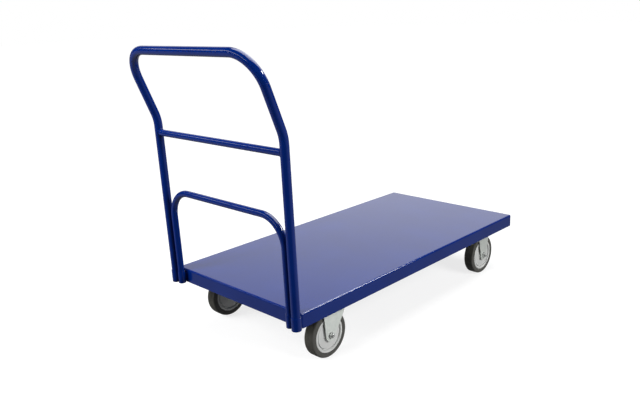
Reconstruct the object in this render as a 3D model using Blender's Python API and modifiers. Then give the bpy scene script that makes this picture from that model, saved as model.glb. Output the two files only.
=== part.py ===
"""Steel platform cart with a lift-out push handle, a lower hoop and four casters.

Metres, +Z up.  +X runs along the deck away from the push handle, +Y is the
left side.  The floor is z = 0 and the origin is at the bottom centre of the
whole cart's box.
"""
import math

import bmesh
import bpy
from mathutils import Matrix, Vector

# ---------------------------------------------------------------- clearances
GAP = 0.0003               # between pieces that touch or are welded
TUBE_PLAY = 0.015          # of the handle tube: the room around a tube in its socket
BOLT_CLEARANCE = 0.0003    # around a bolt in its hole
SLEEVE_CLEARANCE = 0.0003  # around the axle sleeve in the hub

# ---------------------------------------------------------------------- deck
DECK_LENGTH = 1.200
DECK_WIDTH = 0.600
DECK_SHEET = 0.0025
SKIRT_DEPTH = 0.046
EDGE_RADIUS = 0.006
SKIRT_CLEARANCE = 0.0061   # over the forks, which swing out under the skirt
CHANNEL_MARGIN = 0.008     # channel beyond the caster plate at each side
CHANNEL_SHEET = 0.003
RIB_WIDTH = 0.050
RIB_SHEET = 0.002
RIB_COUNT = 2

# ------------------------------------------------------------------- casters
WHEEL_DIAMETER = 0.152
TYRE_WIDTH = 0.038
TYRE_SHOULDER = 0.0055
TYRE_SIDE = 0.0137         # rubber between the tread and the hub's ring
RIM_SEAT_DEPTH = 0.005     # how far the tyre reaches in between the rim flanges
RIM_SEAT_SLOPE = 0.001
RIM_FLANGE = 0.0035        # thickness of each rim flange
RIM_SET_IN = 0.0005        # the ring's face inside the tyre's side
RING_WIDTH = 0.0035        # flat of the raised ring
RING_SLOPE = 0.002
HUB_BOSS_DIAMETER = 0.033
HUB_BOSS_FLARE = 0.004
HUB_BOSS_GAP = 0.002       # from the boss to the fork leg on each side
HUB_RECESS = 0.003         # how far the disc lies inside the rim ring
FIXED_INSET = 0.1485       # fixed axle to the deck's front end
SWIVEL_INSET = 0.1885      # kingpin to the deck's handle end
SWIVEL_TRAIL = 0.035       # axle behind the kingpin
SWIVEL_HEAD_HEIGHT = 0.0245  # crown to the caster plate
PLATE_LENGTH = 0.114
PLATE_THICKNESS = 0.0045
PLATE_CORNER = 0.010
PLATE_SIDE_GAP = 0.009     # plate's edge to the deck's side
BOLT_EDGE_LENGTH = 0.012   # bolt to the plate's end
BOLT_EDGE_WIDTH = 0.013    # bolt to the plate's side
BOLT_HEAD_ROOM = 0.0055    # flat of a bolt's head to the bracket's leg
FORK_SHEET = 0.003
LEG_CLEARANCE = 0.003      # tyre's side to each leg
LEG_END_RADIUS = 0.020     # round end about the axle
FORK_FRONT = 0.031         # crown's front edge ahead of the kingpin
FORK_FRONT_DEPTH = 0.017
FORK_FRONT_TAPER = 0.005
FORK_FRONT_TAPER_DEPTH = 0.0093
FORK_BACK = 0.029          # crown's back edge behind the axle
FORK_BACK_DEPTH = 0.0187
FORK_BACK_TAPER = 0.001
BRACKET_ROOT_HALF = 0.038  # half width of a fixed leg at its plate
BRACKET_WAIST_HALF = 0.034
BRACKET_WAIST_DROP = 0.042 # under the plate
LEG_ROOT = 0.001           # how far a fixed leg is joined into its plate
CROWN_CLEARANCE = 0.005    # wheel top to the crown
CROWN_THICKNESS = 0.004
CROWN_RADIUS = 0.033       # round seat of the swivel bearing
CROWN_BEND = 0.005
BALL_RING_HEIGHT = 0.007
RACE_RADIUS = 0.0325
RACE_NECK_RADIUS = 0.028
RACE_NECK_HEIGHT = 0.006
RACE_WALL = 0.002
RACE_LIP = 0.003
RACE_RUNNING_GAP = 0.0015  # over the crown
BALL_SHIFT = 0.001         # balls' circle inside the middle of the race
KINGPIN_DIAMETER = 0.012
KINGPIN_HEAD_DIAMETER = 0.024
KINGPIN_HEAD_FLAT = 0.0144 # diameter of the head's flat end
KINGPIN_HEAD_HEIGHT = 0.005
KINGPIN_HEAD_EDGE = 0.002

# ----------------------------------------------------------------- fasteners
AXLE_DIAMETER = 0.010
AXLE_HEX = 0.017           # across flats
AXLE_HEAD_HEIGHT = 0.0064
AXLE_NUT_HEIGHT = 0.0095
AXLE_END = 0.0025          # bolt end beyond the nut
SLEEVE_WALL = 0.0022
HEX_CHAMFER = 0.0004
PLATE_BOLT_DIAMETER = 0.008
PLATE_BOLT_HEX = 0.013
PLATE_BOLT_HEAD = 0.0053
PLATE_BOLT_END = 0.005     # beyond the channel's web

# ----------------------------------------------------- handle, hoop, sockets
HANDLE_TUBE = 0.0267
HOOP_TUBE = 0.0213
CROSSBAR_TUBE = 0.0213
TUBE_WALL = 0.002
LEG_INSET = 0.007          # handle leg's axis to the deck's side
LEG_LEAN = math.radians(1.1)
HANDLE_HEIGHT = 0.959      # floor to the top of the grip
UPPER_HEIGHT = 0.234       # top of the grip down to where the upper part starts to lean
KINK_RADIUS = 0.12
UPPER_LEAN = math.radians(21.6)
HANDLE_CORNER = 0.095      # bend radius on the tube's axis
CROSSBAR_DROP = 0.043      # under the start of the upper part
HOOP_HEIGHT = 0.504        # floor to the top of the hoop
HOOP_CORNER = 0.088
SOCKET_WALL = 0.0015
SOCKET_BELOW_DECK = 0.0045 # rim under the deck's top
SOCKET_FLOOR = 0.003
DRAIN_DIAMETER = 0.008

# ----------------------------------------------------------- modelling values
CUT_OVER = 0.003           # how far a cutter runs past its piece
SHANK_ROOT = 0.003         # how far a bolt's shank is joined into its head
FLUSH_STEP = 0.0001        # keeps two joined lumps from sharing a face
MERGE_DISTANCE = 0.00002

# ------------------------------------------------------- worked-out positions
RIM_DIAMETER = WHEEL_DIAMETER - 2 * TYRE_SIDE
SLEEVE_DIAMETER = AXLE_DIAMETER + 2 * (BOLT_CLEARANCE + SLEEVE_WALL)
AXLE_HEIGHT = WHEEL_DIAMETER / 2
FORK_INSIDE = TYRE_WIDTH + 2 * LEG_CLEARANCE
FORK_WIDTH = FORK_INSIDE + 2 * FORK_SHEET
CROWN_UNDERSIDE = WHEEL_DIAMETER + CROWN_CLEARANCE
CROWN_TOP = CROWN_UNDERSIDE + CROWN_THICKNESS
PLATE_UNDERSIDE = CROWN_TOP + SWIVEL_HEAD_HEIGHT
CASTER_HEIGHT = PLATE_UNDERSIDE + PLATE_THICKNESS
BOLT_PITCH_LENGTH = PLATE_LENGTH - 2 * BOLT_EDGE_LENGTH
BOLT_PITCH_WIDTH = FORK_WIDTH + PLATE_BOLT_HEX + 2 * BOLT_HEAD_ROOM
PLATE_WIDTH = BOLT_PITCH_WIDTH + 2 * BOLT_EDGE_WIDTH
CHANNEL_WIDTH = PLATE_LENGTH + 2 * CHANNEL_MARGIN
CHANNEL_DEPTH = SKIRT_DEPTH + CROWN_TOP + SKIRT_CLEARANCE - CASTER_HEIGHT - DECK_SHEET - 2 * GAP
CHANNEL_BOTTOM = CASTER_HEIGHT + GAP
DECK_UNDERSIDE = CHANNEL_BOTTOM + CHANNEL_DEPTH + GAP
DECK_TOP = DECK_UNDERSIDE + DECK_SHEET
SKIRT_BOTTOM = DECK_TOP - SKIRT_DEPTH
TUBE_CLEARANCE = TUBE_PLAY * HANDLE_TUBE
HANDLE_SOCKET_RADIUS = HANDLE_TUBE / 2 + TUBE_CLEARANCE + SOCKET_WALL
HOOP_SOCKET_RADIUS = HOOP_TUBE / 2 + TUBE_CLEARANCE + SOCKET_WALL
HANDLE_SPAN = DECK_WIDTH / 2 - LEG_INSET
HOOP_SPAN = HANDLE_SPAN - HANDLE_SOCKET_RADIUS - HOOP_SOCKET_RADIUS - GAP
KINK_HEIGHT = HANDLE_HEIGHT - UPPER_HEIGHT
UPPER_RISE = UPPER_HEIGHT - HANDLE_TUBE / 2
CROSSBAR_HEIGHT = KINK_HEIGHT - CROSSBAR_DROP
WHEEL_Y = DECK_WIDTH / 2 - PLATE_WIDTH / 2 - PLATE_SIDE_GAP

# The handle end of the deck is at x = HANDLE_END; the grip reaches further back.
GRIP_REACH = (HANDLE_SOCKET_RADIUS + GAP + math.tan(LEG_LEAN) * (KINK_HEIGHT - SKIRT_BOTTOM)
              + math.tan(UPPER_LEAN) * UPPER_RISE + HANDLE_TUBE / 2)
HANDLE_END = GRIP_REACH - (GRIP_REACH + DECK_LENGTH) / 2
FRONT_END = HANDLE_END + DECK_LENGTH
DECK_MIDDLE = HANDLE_END + DECK_LENGTH / 2
KINGPIN_X = HANDLE_END + SWIVEL_INSET
SWIVEL_AXLE_X = KINGPIN_X - SWIVEL_TRAIL
FIXED_AXLE_X = FRONT_END - FIXED_INSET

WHEEL_FACETS = 24          # a multiple of four, so that a corner meets the floor
HEAD_FACETS = 20           # round the swivel's turned pieces
SMALL_FACETS = 14          # round a sleeve, kingpin or socket
BOLT_FACETS = 12           # round a bolt and its hole


for old in list(bpy.data.objects):
    bpy.data.objects.remove(old, do_unlink=True)


def new_collection(name):
    collection = bpy.data.collections.new(name)
    bpy.context.scene.collection.children.link(collection)
    return collection


PARTS = new_collection("platform_cart")
CUTTERS = new_collection("cutters")


def paint(name, colour, metallic, roughness):
    """A Principled material with one plain finish."""
    material = bpy.data.materials.new(name)
    material.use_nodes = True
    shader = material.node_tree.nodes["Principled BSDF"]
    shader.inputs["Base Color"].default_value = (*colour, 1.0)
    shader.inputs["Metallic"].default_value = metallic
    shader.inputs["Roughness"].default_value = roughness
    material.diffuse_color = (*colour, 1.0)
    return material


def blue(name):
    return paint(name, (0.016, 0.033, 0.16), 0.0, 0.35)


def zinc(name):
    return paint(name, (0.58, 0.61, 0.58), 0.9, 0.38)


def grey_plastic(name):
    return paint(name, (0.56, 0.57, 0.56), 0.0, 0.45)


def rubber(name):
    return paint(name, (0.035, 0.035, 0.032), 0.0, 0.7)


def place(mesh, name, material, location=(0, 0, 0), rotation=(0, 0, 0)):
    """Put a mesh in the scene as one named piece."""
    piece = bpy.data.objects.new(name, mesh)
    mesh.materials.clear()
    mesh.materials.append(material)
    piece.location = location
    piece.rotation_euler = rotation
    PARTS.objects.link(piece)
    return piece


def smooth(mesh):
    mesh.shade_smooth()
    mesh.set_sharp_from_angle(angle=math.radians(35))


def turned_mesh(name, profile, facets):
    """A profile of (radius, height) points, outer side first and top to bottom, turned about Z."""
    mesh = bpy.data.meshes.new(name)
    points = [(radius, 0, height) for radius, height in profile]
    edges = [(i, (i + 1) % len(points)) for i in range(len(points))]
    mesh.from_pydata(points, edges, [])
    guide = bpy.data.objects.new(name + "_profile", mesh)
    CUTTERS.objects.link(guide)
    screw = guide.modifiers.new("turn", "SCREW")
    screw.axis = "Z"
    screw.steps = facets
    screw.render_steps = facets
    screw.use_merge_vertices = True
    screw.merge_threshold = MERGE_DISTANCE
    result = evaluated_mesh(guide, name)
    bpy.data.objects.remove(guide, do_unlink=True)
    smooth(result)
    return result


def evaluated_mesh(thing, name):
    """The finished mesh of an object with its modifiers or its curve worked out."""
    bpy.context.view_layer.update()
    graph = bpy.context.evaluated_depsgraph_get()
    mesh = bpy.data.meshes.new_from_object(thing.evaluated_get(graph))
    mesh.name = name
    return mesh


def outline_mesh(name, outline, thickness):
    """A flat outline in the XZ plane, thickened along Y about y = 0."""
    curve = bpy.data.curves.new(name, "CURVE")
    curve.dimensions = "2D"
    curve.fill_mode = "BOTH"
    curve.extrude = thickness / 2
    spline = curve.splines.new("POLY")
    spline.points.add(len(outline) - 1)
    for point, (x, z) in zip(spline.points, outline):
        point.co = (x, z, 0, 1)
    spline.use_cyclic_u = True
    guide = bpy.data.objects.new(name + "_outline", curve)
    CUTTERS.objects.link(guide)
    mesh = evaluated_mesh(guide, name)
    bpy.data.objects.remove(guide, do_unlink=True)
    weld(mesh, Matrix.Rotation(math.pi / 2, 4, "X"))
    return mesh


def weld(mesh, matrix=None):
    """Merge a curve's loose caps to its sides, then turn the mesh."""
    work = bmesh.new()
    work.from_mesh(mesh)
    bmesh.ops.remove_doubles(work, verts=work.verts, dist=MERGE_DISTANCE)
    if matrix:
        bmesh.ops.transform(work, matrix=matrix, verts=work.verts)
    work.to_mesh(mesh)
    work.free()


def cylinder_mesh(name, radius, low, high, facets=SMALL_FACETS):
    work = bmesh.new()
    bmesh.ops.create_cone(work, cap_ends=True, segments=facets, radius1=radius, radius2=radius,
                          depth=high - low)
    bmesh.ops.translate(work, verts=work.verts, vec=(0, 0, (high + low) / 2))
    mesh = bpy.data.meshes.new(name)
    work.to_mesh(mesh)
    work.free()
    return mesh


def box_mesh(name, low, high):
    work = bmesh.new()
    bmesh.ops.create_cube(work, size=1)
    size = Vector(high) - Vector(low)
    middle = (Vector(high) + Vector(low)) / 2
    bmesh.ops.scale(work, verts=work.verts, vec=size)
    bmesh.ops.translate(work, verts=work.verts, vec=middle)
    mesh = bpy.data.meshes.new(name)
    work.to_mesh(mesh)
    work.free()
    return mesh


def tool(mesh, location=(0, 0, 0), rotation=(0, 0, 0)):
    """A cutter, or a lump that is joined on: never a piece of its own."""
    cutter = bpy.data.objects.new(mesh.name, mesh)
    cutter.location = location
    cutter.rotation_euler = rotation
    cutter.hide_render = True
    cutter.display_type = "WIRE"
    CUTTERS.objects.link(cutter)
    return cutter


def shape(piece, cutter, operation):
    modifier = piece.modifiers.new(cutter.name, "BOOLEAN")
    modifier.operation = operation
    modifier.solver = "EXACT"
    modifier.object = cutter


def arc(centre, radius, start, end, count):
    """Points of an arc in a flat outline, with angles in degrees."""
    points = []
    for i in range(count + 1):
        angle = math.radians(start + (end - start) * i / count)
        points.append((centre[0] + radius * math.cos(angle), centre[1] + radius * math.sin(angle)))
    return points


# ---------------------------------------------------------------------- deck
def deck_pan():
    """One sheet folded down on four sides, with its corners welded and dressed round."""
    work = bmesh.new()
    bmesh.ops.create_cube(work, size=1)
    bmesh.ops.scale(work, verts=work.verts, vec=(DECK_LENGTH, DECK_WIDTH, SKIRT_DEPTH))
    bmesh.ops.translate(work, verts=work.verts, vec=(0, 0, -SKIRT_DEPTH / 2))
    underside = [face for face in work.faces if face.normal.z < -0.5]
    bmesh.ops.delete(work, geom=underside, context="FACES_ONLY")
    mesh = bpy.data.meshes.new("deck_pan")
    work.to_mesh(mesh)
    work.free()
    pan = place(mesh, "deck_pan", blue("deck_blue"), (DECK_MIDDLE, 0, DECK_TOP))
    bend = pan.modifiers.new("bend", "BEVEL")
    bend.width = EDGE_RADIUS
    bend.segments = 4
    bend.limit_method = "ANGLE"
    sheet = pan.modifiers.new("sheet", "SOLIDIFY")
    sheet.thickness = DECK_SHEET
    sheet.offset = -1
    sheet.use_even_offset = True
    smooth(mesh)


def channel_mesh(name, width, sheet):
    """An open channel across the cart, web down and flanges up to the deck."""
    half = width / 2
    depth = CHANNEL_DEPTH
    outline = [(-half, 0), (half, 0), (half, depth), (half - sheet, depth), (half - sheet, sheet),
               (-half + sheet, sheet), (-half + sheet, depth), (-half, depth)]
    length = DECK_WIDTH - 2 * DECK_SHEET - 2 * EDGE_RADIUS
    return outline_mesh(name, outline, length)


def bolt_places():
    """Offsets of the four bolts of one caster plate, from the plate's centre."""
    places = []
    for x_side in (-1, 1):
        for y_side in (-1, 1):
            places.append((x_side * BOLT_PITCH_LENGTH / 2, y_side * BOLT_PITCH_WIDTH / 2))
    return places


def caster_channel(name, x):
    channel = place(channel_mesh(name, CHANNEL_WIDTH, CHANNEL_SHEET), name, blue(name + "_blue"),
                    (x, 0, CHANNEL_BOTTOM))
    radius = PLATE_BOLT_DIAMETER / 2 + BOLT_CLEARANCE
    for side in (-1, 1):
        for i, (dx, dy) in enumerate(bolt_places()):
            hole = cylinder_mesh(f"{name}_hole_{side}_{i}", radius, -CUT_OVER,
                                 CHANNEL_SHEET + CUT_OVER, BOLT_FACETS)
            shape(channel, tool(hole, (x + dx, side * WHEEL_Y + dy, CHANNEL_BOTTOM)), "DIFFERENCE")


def deck_ribs():
    step = (FIXED_AXLE_X - KINGPIN_X) / (RIB_COUNT + 1)
    for i in range(RIB_COUNT):
        name = f"deck_rib_{i + 1}"
        place(channel_mesh(name, RIB_WIDTH, RIB_SHEET), name, blue(name + "_blue"),
              (KINGPIN_X + step * (i + 1), 0, CHANNEL_BOTTOM))


# ------------------------------------------------------------------- sockets
def leg_x(socket_radius, height):
    """X of a leg's axis at a height: the sockets lean back a little with the legs."""
    foot = HANDLE_END - (socket_radius + GAP) / math.cos(LEG_LEAN)
    return foot - math.tan(LEG_LEAN) * (height - SKIRT_BOTTOM)


def socket(name, tube, outer_radius, y):
    """A cup welded to the end skirt, with a floor that the leg stands on and a drain hole."""
    bore = tube / 2 + TUBE_CLEARANCE
    height = (SKIRT_DEPTH - SOCKET_BELOW_DECK) / math.cos(LEG_LEAN)
    drain = DRAIN_DIAMETER / 2
    profile = [(outer_radius, height), (outer_radius, 0), (drain, 0), (drain, SOCKET_FLOOR),
               (bore, SOCKET_FLOOR), (bore, height)]
    place(turned_mesh(name, profile, SMALL_FACETS), name, blue(name + "_blue"),
          (leg_x(outer_radius, SKIRT_BOTTOM), y, SKIRT_BOTTOM), (0, -LEG_LEAN, 0))


# ------------------------------------------------------------ handle and hoop
def bend_points(before, corner, after, radius, count):
    """Points of the arc that rounds one corner of a path."""
    back = (before - corner).normalized()
    ahead = (after - corner).normalized()
    turn = math.pi - back.angle(ahead)
    reach = radius * math.tan(turn / 2)
    start = corner + back * reach
    normal = (ahead - back * back.dot(ahead)).normalized()
    centre = start + normal * radius
    points = []
    for i in range(count + 1):
        angle = turn * i / count
        points.append(centre - normal * radius * math.cos(angle) - back * radius * math.sin(angle))
    return points


def tube_mesh(name, path, diameter, wall, resolution=4):
    """A round tube along a path, open at both ends, with its real wall."""
    curve = bpy.data.curves.new(name, "CURVE")
    curve.dimensions = "3D"
    curve.bevel_depth = diameter / 2
    curve.bevel_resolution = resolution
    curve.twist_mode = "MINIMUM"
    spline = curve.splines.new("POLY")
    spline.points.add(len(path) - 1)
    for point, place_at in zip(spline.points, path):
        point.co = (*place_at, 1)
    guide = bpy.data.objects.new(name + "_path", curve)
    CUTTERS.objects.link(guide)
    skin = evaluated_mesh(guide, name + "_skin")
    bpy.data.objects.remove(guide, do_unlink=True)
    weld(skin)
    shell = bpy.data.objects.new(name + "_shell", skin)
    CUTTERS.objects.link(shell)
    solid = shell.modifiers.new("wall", "SOLIDIFY")
    solid.thickness = wall
    solid.offset = -1
    solid.use_even_offset = True
    mesh = evaluated_mesh(shell, name)
    bpy.data.objects.remove(shell, do_unlink=True)
    smooth(mesh)
    return mesh


def foot_height():
    return SKIRT_BOTTOM + SOCKET_FLOOR + GAP


def leg_point(socket_radius, height, y):
    return Vector((leg_x(socket_radius, height), y, height))


def push_handle():
    """One tube: two legs, a kink above the crossbar, and the grip across the top."""
    right = []
    for height in (foot_height(), KINK_HEIGHT):
        right.append(leg_point(HANDLE_SOCKET_RADIUS, height, -HANDLE_SPAN))
    top = right[1] + Vector((-math.tan(UPPER_LEAN) * UPPER_RISE, 0, UPPER_RISE))
    right.append(top)
    left = [Vector((point.x, -point.y, point.z)) for point in right]
    path = [right[0]]
    path += bend_points(right[0], right[1], right[2], KINK_RADIUS, 4)
    path += bend_points(right[1], right[2], left[2], HANDLE_CORNER, 9)
    path += bend_points(right[2], left[2], left[1], HANDLE_CORNER, 9)
    path += bend_points(left[2], left[1], left[0], KINK_RADIUS, 4)
    path.append(left[0])
    origin = leg_point(HANDLE_SOCKET_RADIUS, foot_height(), 0)
    mesh = tube_mesh("push_handle_tube", [point - origin for point in path], HANDLE_TUBE, TUBE_WALL)
    place(mesh, "push_handle_tube", blue("handle_blue"), origin)


def handle_crossbar():
    """A straight tube between the legs, with its ends cut to the round of the legs."""
    centre = leg_point(HANDLE_SOCKET_RADIUS, CROSSBAR_HEIGHT, 0)
    reach = HANDLE_SPAN - HANDLE_TUBE / 4
    ends = [Vector((0, -reach, 0)), Vector((0, reach, 0))]
    mesh = tube_mesh("handle_crossbar", ends, CROSSBAR_TUBE, TUBE_WALL)
    bar = place(mesh, "handle_crossbar", blue("crossbar_blue"), centre)
    for side in (-1, 1):
        leg = cylinder_mesh(f"crossbar_cope_{side}", HANDLE_TUBE / 2 + GAP, -CROSSBAR_TUBE,
                            CROSSBAR_TUBE, WHEEL_FACETS)
        cutter = tool(leg, centre + Vector((0, side * HANDLE_SPAN, 0)), (0, -LEG_LEAN, 0))
        shape(bar, cutter, "DIFFERENCE")


def lower_hoop():
    """The hoop of thinner tube that stands inside the handle's legs."""
    top_height = HOOP_HEIGHT - HOOP_TUBE / 2
    right = [leg_point(HOOP_SOCKET_RADIUS, foot_height(), -HOOP_SPAN),
             leg_point(HOOP_SOCKET_RADIUS, top_height, -HOOP_SPAN)]
    left = [Vector((point.x, -point.y, point.z)) for point in right]
    path = [right[0]]
    path += bend_points(right[0], right[1], left[1], HOOP_CORNER, 9)
    path += bend_points(right[1], left[1], left[0], HOOP_CORNER, 9)
    path.append(left[0])
    origin = leg_point(HOOP_SOCKET_RADIUS, foot_height(), 0)
    mesh = tube_mesh("lower_hoop_tube", [point - origin for point in path], HOOP_TUBE, TUBE_WALL)
    place(mesh, "lower_hoop_tube", blue("hoop_blue"), origin)


# -------------------------------------------------------------------- wheels
def on_axle(mesh, name, material, x, side):
    """Place a piece that was made about Z on a wheel's axle."""
    return place(mesh, name, material, (x, side * WHEEL_Y, AXLE_HEIGHT), (-side * math.pi / 2, 0, 0))


def hub_profile():
    """The grey disc: a raised ring at the rim, a shallow recess, and a boss at the bore."""
    half = TYRE_WIDTH / 2 - RIM_SET_IN
    rim = RIM_DIAMETER / 2
    seat = rim - RIM_SEAT_DEPTH
    boss = HUB_BOSS_DIAMETER / 2
    boss_half = FORK_INSIDE / 2 - HUB_BOSS_GAP
    bore = SLEEVE_DIAMETER / 2 + SLEEVE_CLEARANCE
    disc = half - HUB_RECESS
    outer = [(rim, half), (rim, half - RIM_FLANGE), (seat, half - RIM_FLANGE - RIM_SEAT_SLOPE)]
    outer += [(radius, -height) for radius, height in reversed(outer)]
    face = [(rim - RING_WIDTH, half), (rim - RING_WIDTH - RING_SLOPE, disc),
            (boss + HUB_BOSS_FLARE, disc), (boss, boss_half), (bore, boss_half)]
    lower = [(radius, -height) for radius, height in face]
    return outer + lower + list(reversed(face))


def tyre_profile():
    """Solid rubber, flat across the tread, that grips the rim between its flanges."""
    half = TYRE_WIDTH / 2
    tread = WHEEL_DIAMETER / 2
    bore = RIM_DIAMETER / 2 + GAP
    seat = bore - RIM_SEAT_DEPTH
    flange = half - RIM_SET_IN - RIM_FLANGE - GAP
    outer = arc((tread - TYRE_SHOULDER, half - TYRE_SHOULDER), TYRE_SHOULDER, 90, 0, 2)
    outer += [(radius, -height) for radius, height in reversed(outer)]
    inner = [(bore, -half), (bore, -flange), (seat, -flange + RIM_SEAT_SLOPE),
             (seat, flange - RIM_SEAT_SLOPE), (bore, flange), (bore, half)]
    return outer + inner


def wheel(name, x, side):
    """The hub and tyre that turn, and the bolt, nut and sleeve that they turn on."""
    on_axle(turned_mesh("hub_" + name, hub_profile(), WHEEL_FACETS), "hub_" + name,
            grey_plastic(f"hub_{name}_grey"), x, side)
    on_axle(turned_mesh("tyre_" + name, tyre_profile(), WHEEL_FACETS), "tyre_" + name,
            rubber(f"tyre_{name}_rubber"), x, side)
    reach = FORK_INSIDE / 2 - GAP
    bore = AXLE_DIAMETER / 2 + BOLT_CLEARANCE
    sleeve = [(SLEEVE_DIAMETER / 2, reach), (SLEEVE_DIAMETER / 2, -reach), (bore, -reach), (bore, reach)]
    on_axle(turned_mesh("axle_sleeve_" + name, sleeve, SMALL_FACETS), "axle_sleeve_" + name,
            zinc(f"axle_sleeve_{name}_zinc"), x, side)
    seat = FORK_WIDTH / 2 + GAP
    head = hex_mesh("axle_bolt_" + name, AXLE_HEX, -seat, -seat - AXLE_HEAD_HEIGHT)
    bolt = on_axle(head, "axle_bolt_" + name, zinc(f"axle_bolt_{name}_zinc"), x, side)
    add_shank(bolt, AXLE_DIAMETER, -seat, seat + AXLE_NUT_HEIGHT + AXLE_END)
    nut = hex_mesh("axle_nut_" + name, AXLE_HEX, seat, seat + AXLE_NUT_HEIGHT)
    nut = on_axle(nut, "axle_nut_" + name, zinc(f"axle_nut_{name}_zinc"), x, side)
    hole = cylinder_mesh(nut.name + "_bore", bore, seat - CUT_OVER, seat + AXLE_NUT_HEIGHT + CUT_OVER,
                         BOLT_FACETS)
    shape(nut, tool(hole, nut.location, nut.rotation_euler), "DIFFERENCE")


def hex_mesh(name, across_flats, seat, outer):
    """The six-sided blank of a nut or a bolt head, from its seat to its narrower outer end."""
    corner = across_flats / 2 / math.cos(math.pi / 6)
    work = bmesh.new()
    bmesh.ops.create_cone(work, cap_ends=True, segments=6, radius1=corner, radius2=corner - HEX_CHAMFER,
                          depth=abs(outer - seat))
    if outer < seat:
        bmesh.ops.rotate(work, verts=work.verts, matrix=Matrix.Rotation(math.pi, 3, "X"))
    bmesh.ops.translate(work, verts=work.verts, vec=(0, 0, (seat + outer) / 2))
    mesh = bpy.data.meshes.new(name)
    work.to_mesh(mesh)
    work.free()
    return mesh


def add_shank(bolt, diameter, seat, end):
    """Join a bolt's round shank to its head, well inside the head."""
    shank = cylinder_mesh(bolt.name + "_shank", diameter / 2, seat - SHANK_ROOT, end,
                          BOLT_FACETS)
    shape(bolt, tool(shank, bolt.location, bolt.rotation_euler), "UNION")


# ------------------------------------------------------------------- casters
def rounded_plate_mesh(name):
    """The caster's top plate, flat and with round corners, from z = 0 up."""
    x = PLATE_LENGTH / 2 - PLATE_CORNER
    y = PLATE_WIDTH / 2 - PLATE_CORNER
    outline = arc((x, y), PLATE_CORNER, 0, 90, 4) + arc((-x, y), PLATE_CORNER, 90, 180, 4)
    outline += arc((-x, -y), PLATE_CORNER, 180, 270, 4) + arc((x, -y), PLATE_CORNER, 270, 360, 4)
    mesh = outline_mesh(name, outline, PLATE_THICKNESS)
    mesh.transform(Matrix.Rotation(-math.pi / 2, 4, "X"))
    mesh.transform(Matrix.Translation((0, 0, PLATE_THICKNESS / 2)))
    return mesh


def drill_plate(piece, x, y):
    radius = PLATE_BOLT_DIAMETER / 2 + BOLT_CLEARANCE
    for i, (dx, dy) in enumerate(bolt_places()):
        hole = cylinder_mesh(f"{piece.name}_hole_{i}", radius, -CUT_OVER,
                             PLATE_THICKNESS + CUT_OVER, BOLT_FACETS)
        shape(piece, tool(hole, (x + dx, y + dy, PLATE_UNDERSIDE)), "DIFFERENCE")


def plate_bolts(name, x, y):
    """Four bolts from below, through the plate, into the channel's threaded web."""
    length = PLATE_THICKNESS + CHANNEL_SHEET + 2 * GAP + PLATE_BOLT_END
    for i, (dx, dy) in enumerate(bolt_places()):
        label = f"plate_bolt_{name}_{i + 1}"
        head = hex_mesh(label, PLATE_BOLT_HEX, 0, -PLATE_BOLT_HEAD)
        bolt = place(head, label, zinc(label + "_zinc"), (x + dx, y + dy, PLATE_UNDERSIDE - GAP))
        add_shank(bolt, PLATE_BOLT_DIAMETER, 0, length)


def axle_hole(piece, x, y):
    hole = cylinder_mesh(piece.name + "_axle_hole", AXLE_DIAMETER / 2 + BOLT_CLEARANCE,
                         -FORK_WIDTH, FORK_WIDTH, BOLT_FACETS)
    shape(piece, tool(hole, (x, y, AXLE_HEIGHT), (math.pi / 2, 0, 0)), "DIFFERENCE")


def swivel_fork(name, side):
    """Two legs and a crown pressed from one sheet, trailing behind the kingpin."""
    y = side * WHEEL_Y
    rise = CROWN_TOP - AXLE_HEIGHT
    front = SWIVEL_TRAIL + FORK_FRONT
    outline = arc((0, 0), LEG_END_RADIUS, 176, 326, 8)
    outline += [(front - FORK_FRONT_TAPER, rise - FORK_FRONT_DEPTH - FORK_FRONT_TAPER_DEPTH),
                (front, rise - FORK_FRONT_DEPTH), (front, rise)]
    outline += [(-FORK_BACK, rise), (-FORK_BACK + FORK_BACK_TAPER, rise - FORK_BACK_DEPTH)]
    mesh = outline_mesh("fork_" + name, outline, FORK_WIDTH)
    fork = place(mesh, "fork_" + name, zinc(f"fork_{name}_zinc"), (SWIVEL_AXLE_X, y, AXLE_HEIGHT))
    soften_crown(fork, rise)
    wheel_room = box_mesh(fork.name + "_room", (-WHEEL_DIAMETER, -FORK_INSIDE / 2, -WHEEL_DIAMETER),
                          (WHEEL_DIAMETER, FORK_INSIDE / 2, CROWN_UNDERSIDE - AXLE_HEIGHT))
    shape(fork, tool(wheel_room, fork.location), "DIFFERENCE")
    seat = cylinder_mesh(fork.name + "_seat", CROWN_RADIUS, CROWN_UNDERSIDE, CROWN_TOP - FLUSH_STEP,
                         WHEEL_FACETS)
    shape(fork, tool(seat, (KINGPIN_X, y, 0)), "UNION")
    bore = cylinder_mesh(fork.name + "_bore", KINGPIN_DIAMETER / 2 + BOLT_CLEARANCE,
                         CROWN_UNDERSIDE - CUT_OVER, CROWN_TOP + CUT_OVER, SMALL_FACETS)
    shape(fork, tool(bore, (KINGPIN_X, y, 0)), "DIFFERENCE")
    axle_hole(fork, SWIVEL_AXLE_X, y)


def soften_crown(fork, rise):
    """Round the two long bends where the crown turns down into the legs."""
    work = bmesh.new()
    work.from_mesh(fork.data)
    bends = []
    for edge in work.edges:
        a, b = (vert.co for vert in edge.verts)
        on_top = abs(a.z - rise) < MERGE_DISTANCE and abs(b.z - rise) < MERGE_DISTANCE
        if on_top and abs(a.y - b.y) < MERGE_DISTANCE:
            bends.append(edge)
    bmesh.ops.bevel(work, geom=bends, offset=CROWN_BEND, segments=3, affect="EDGES", profile=0.5,
                    clamp_overlap=True)
    work.to_mesh(fork.data)
    work.free()


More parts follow.
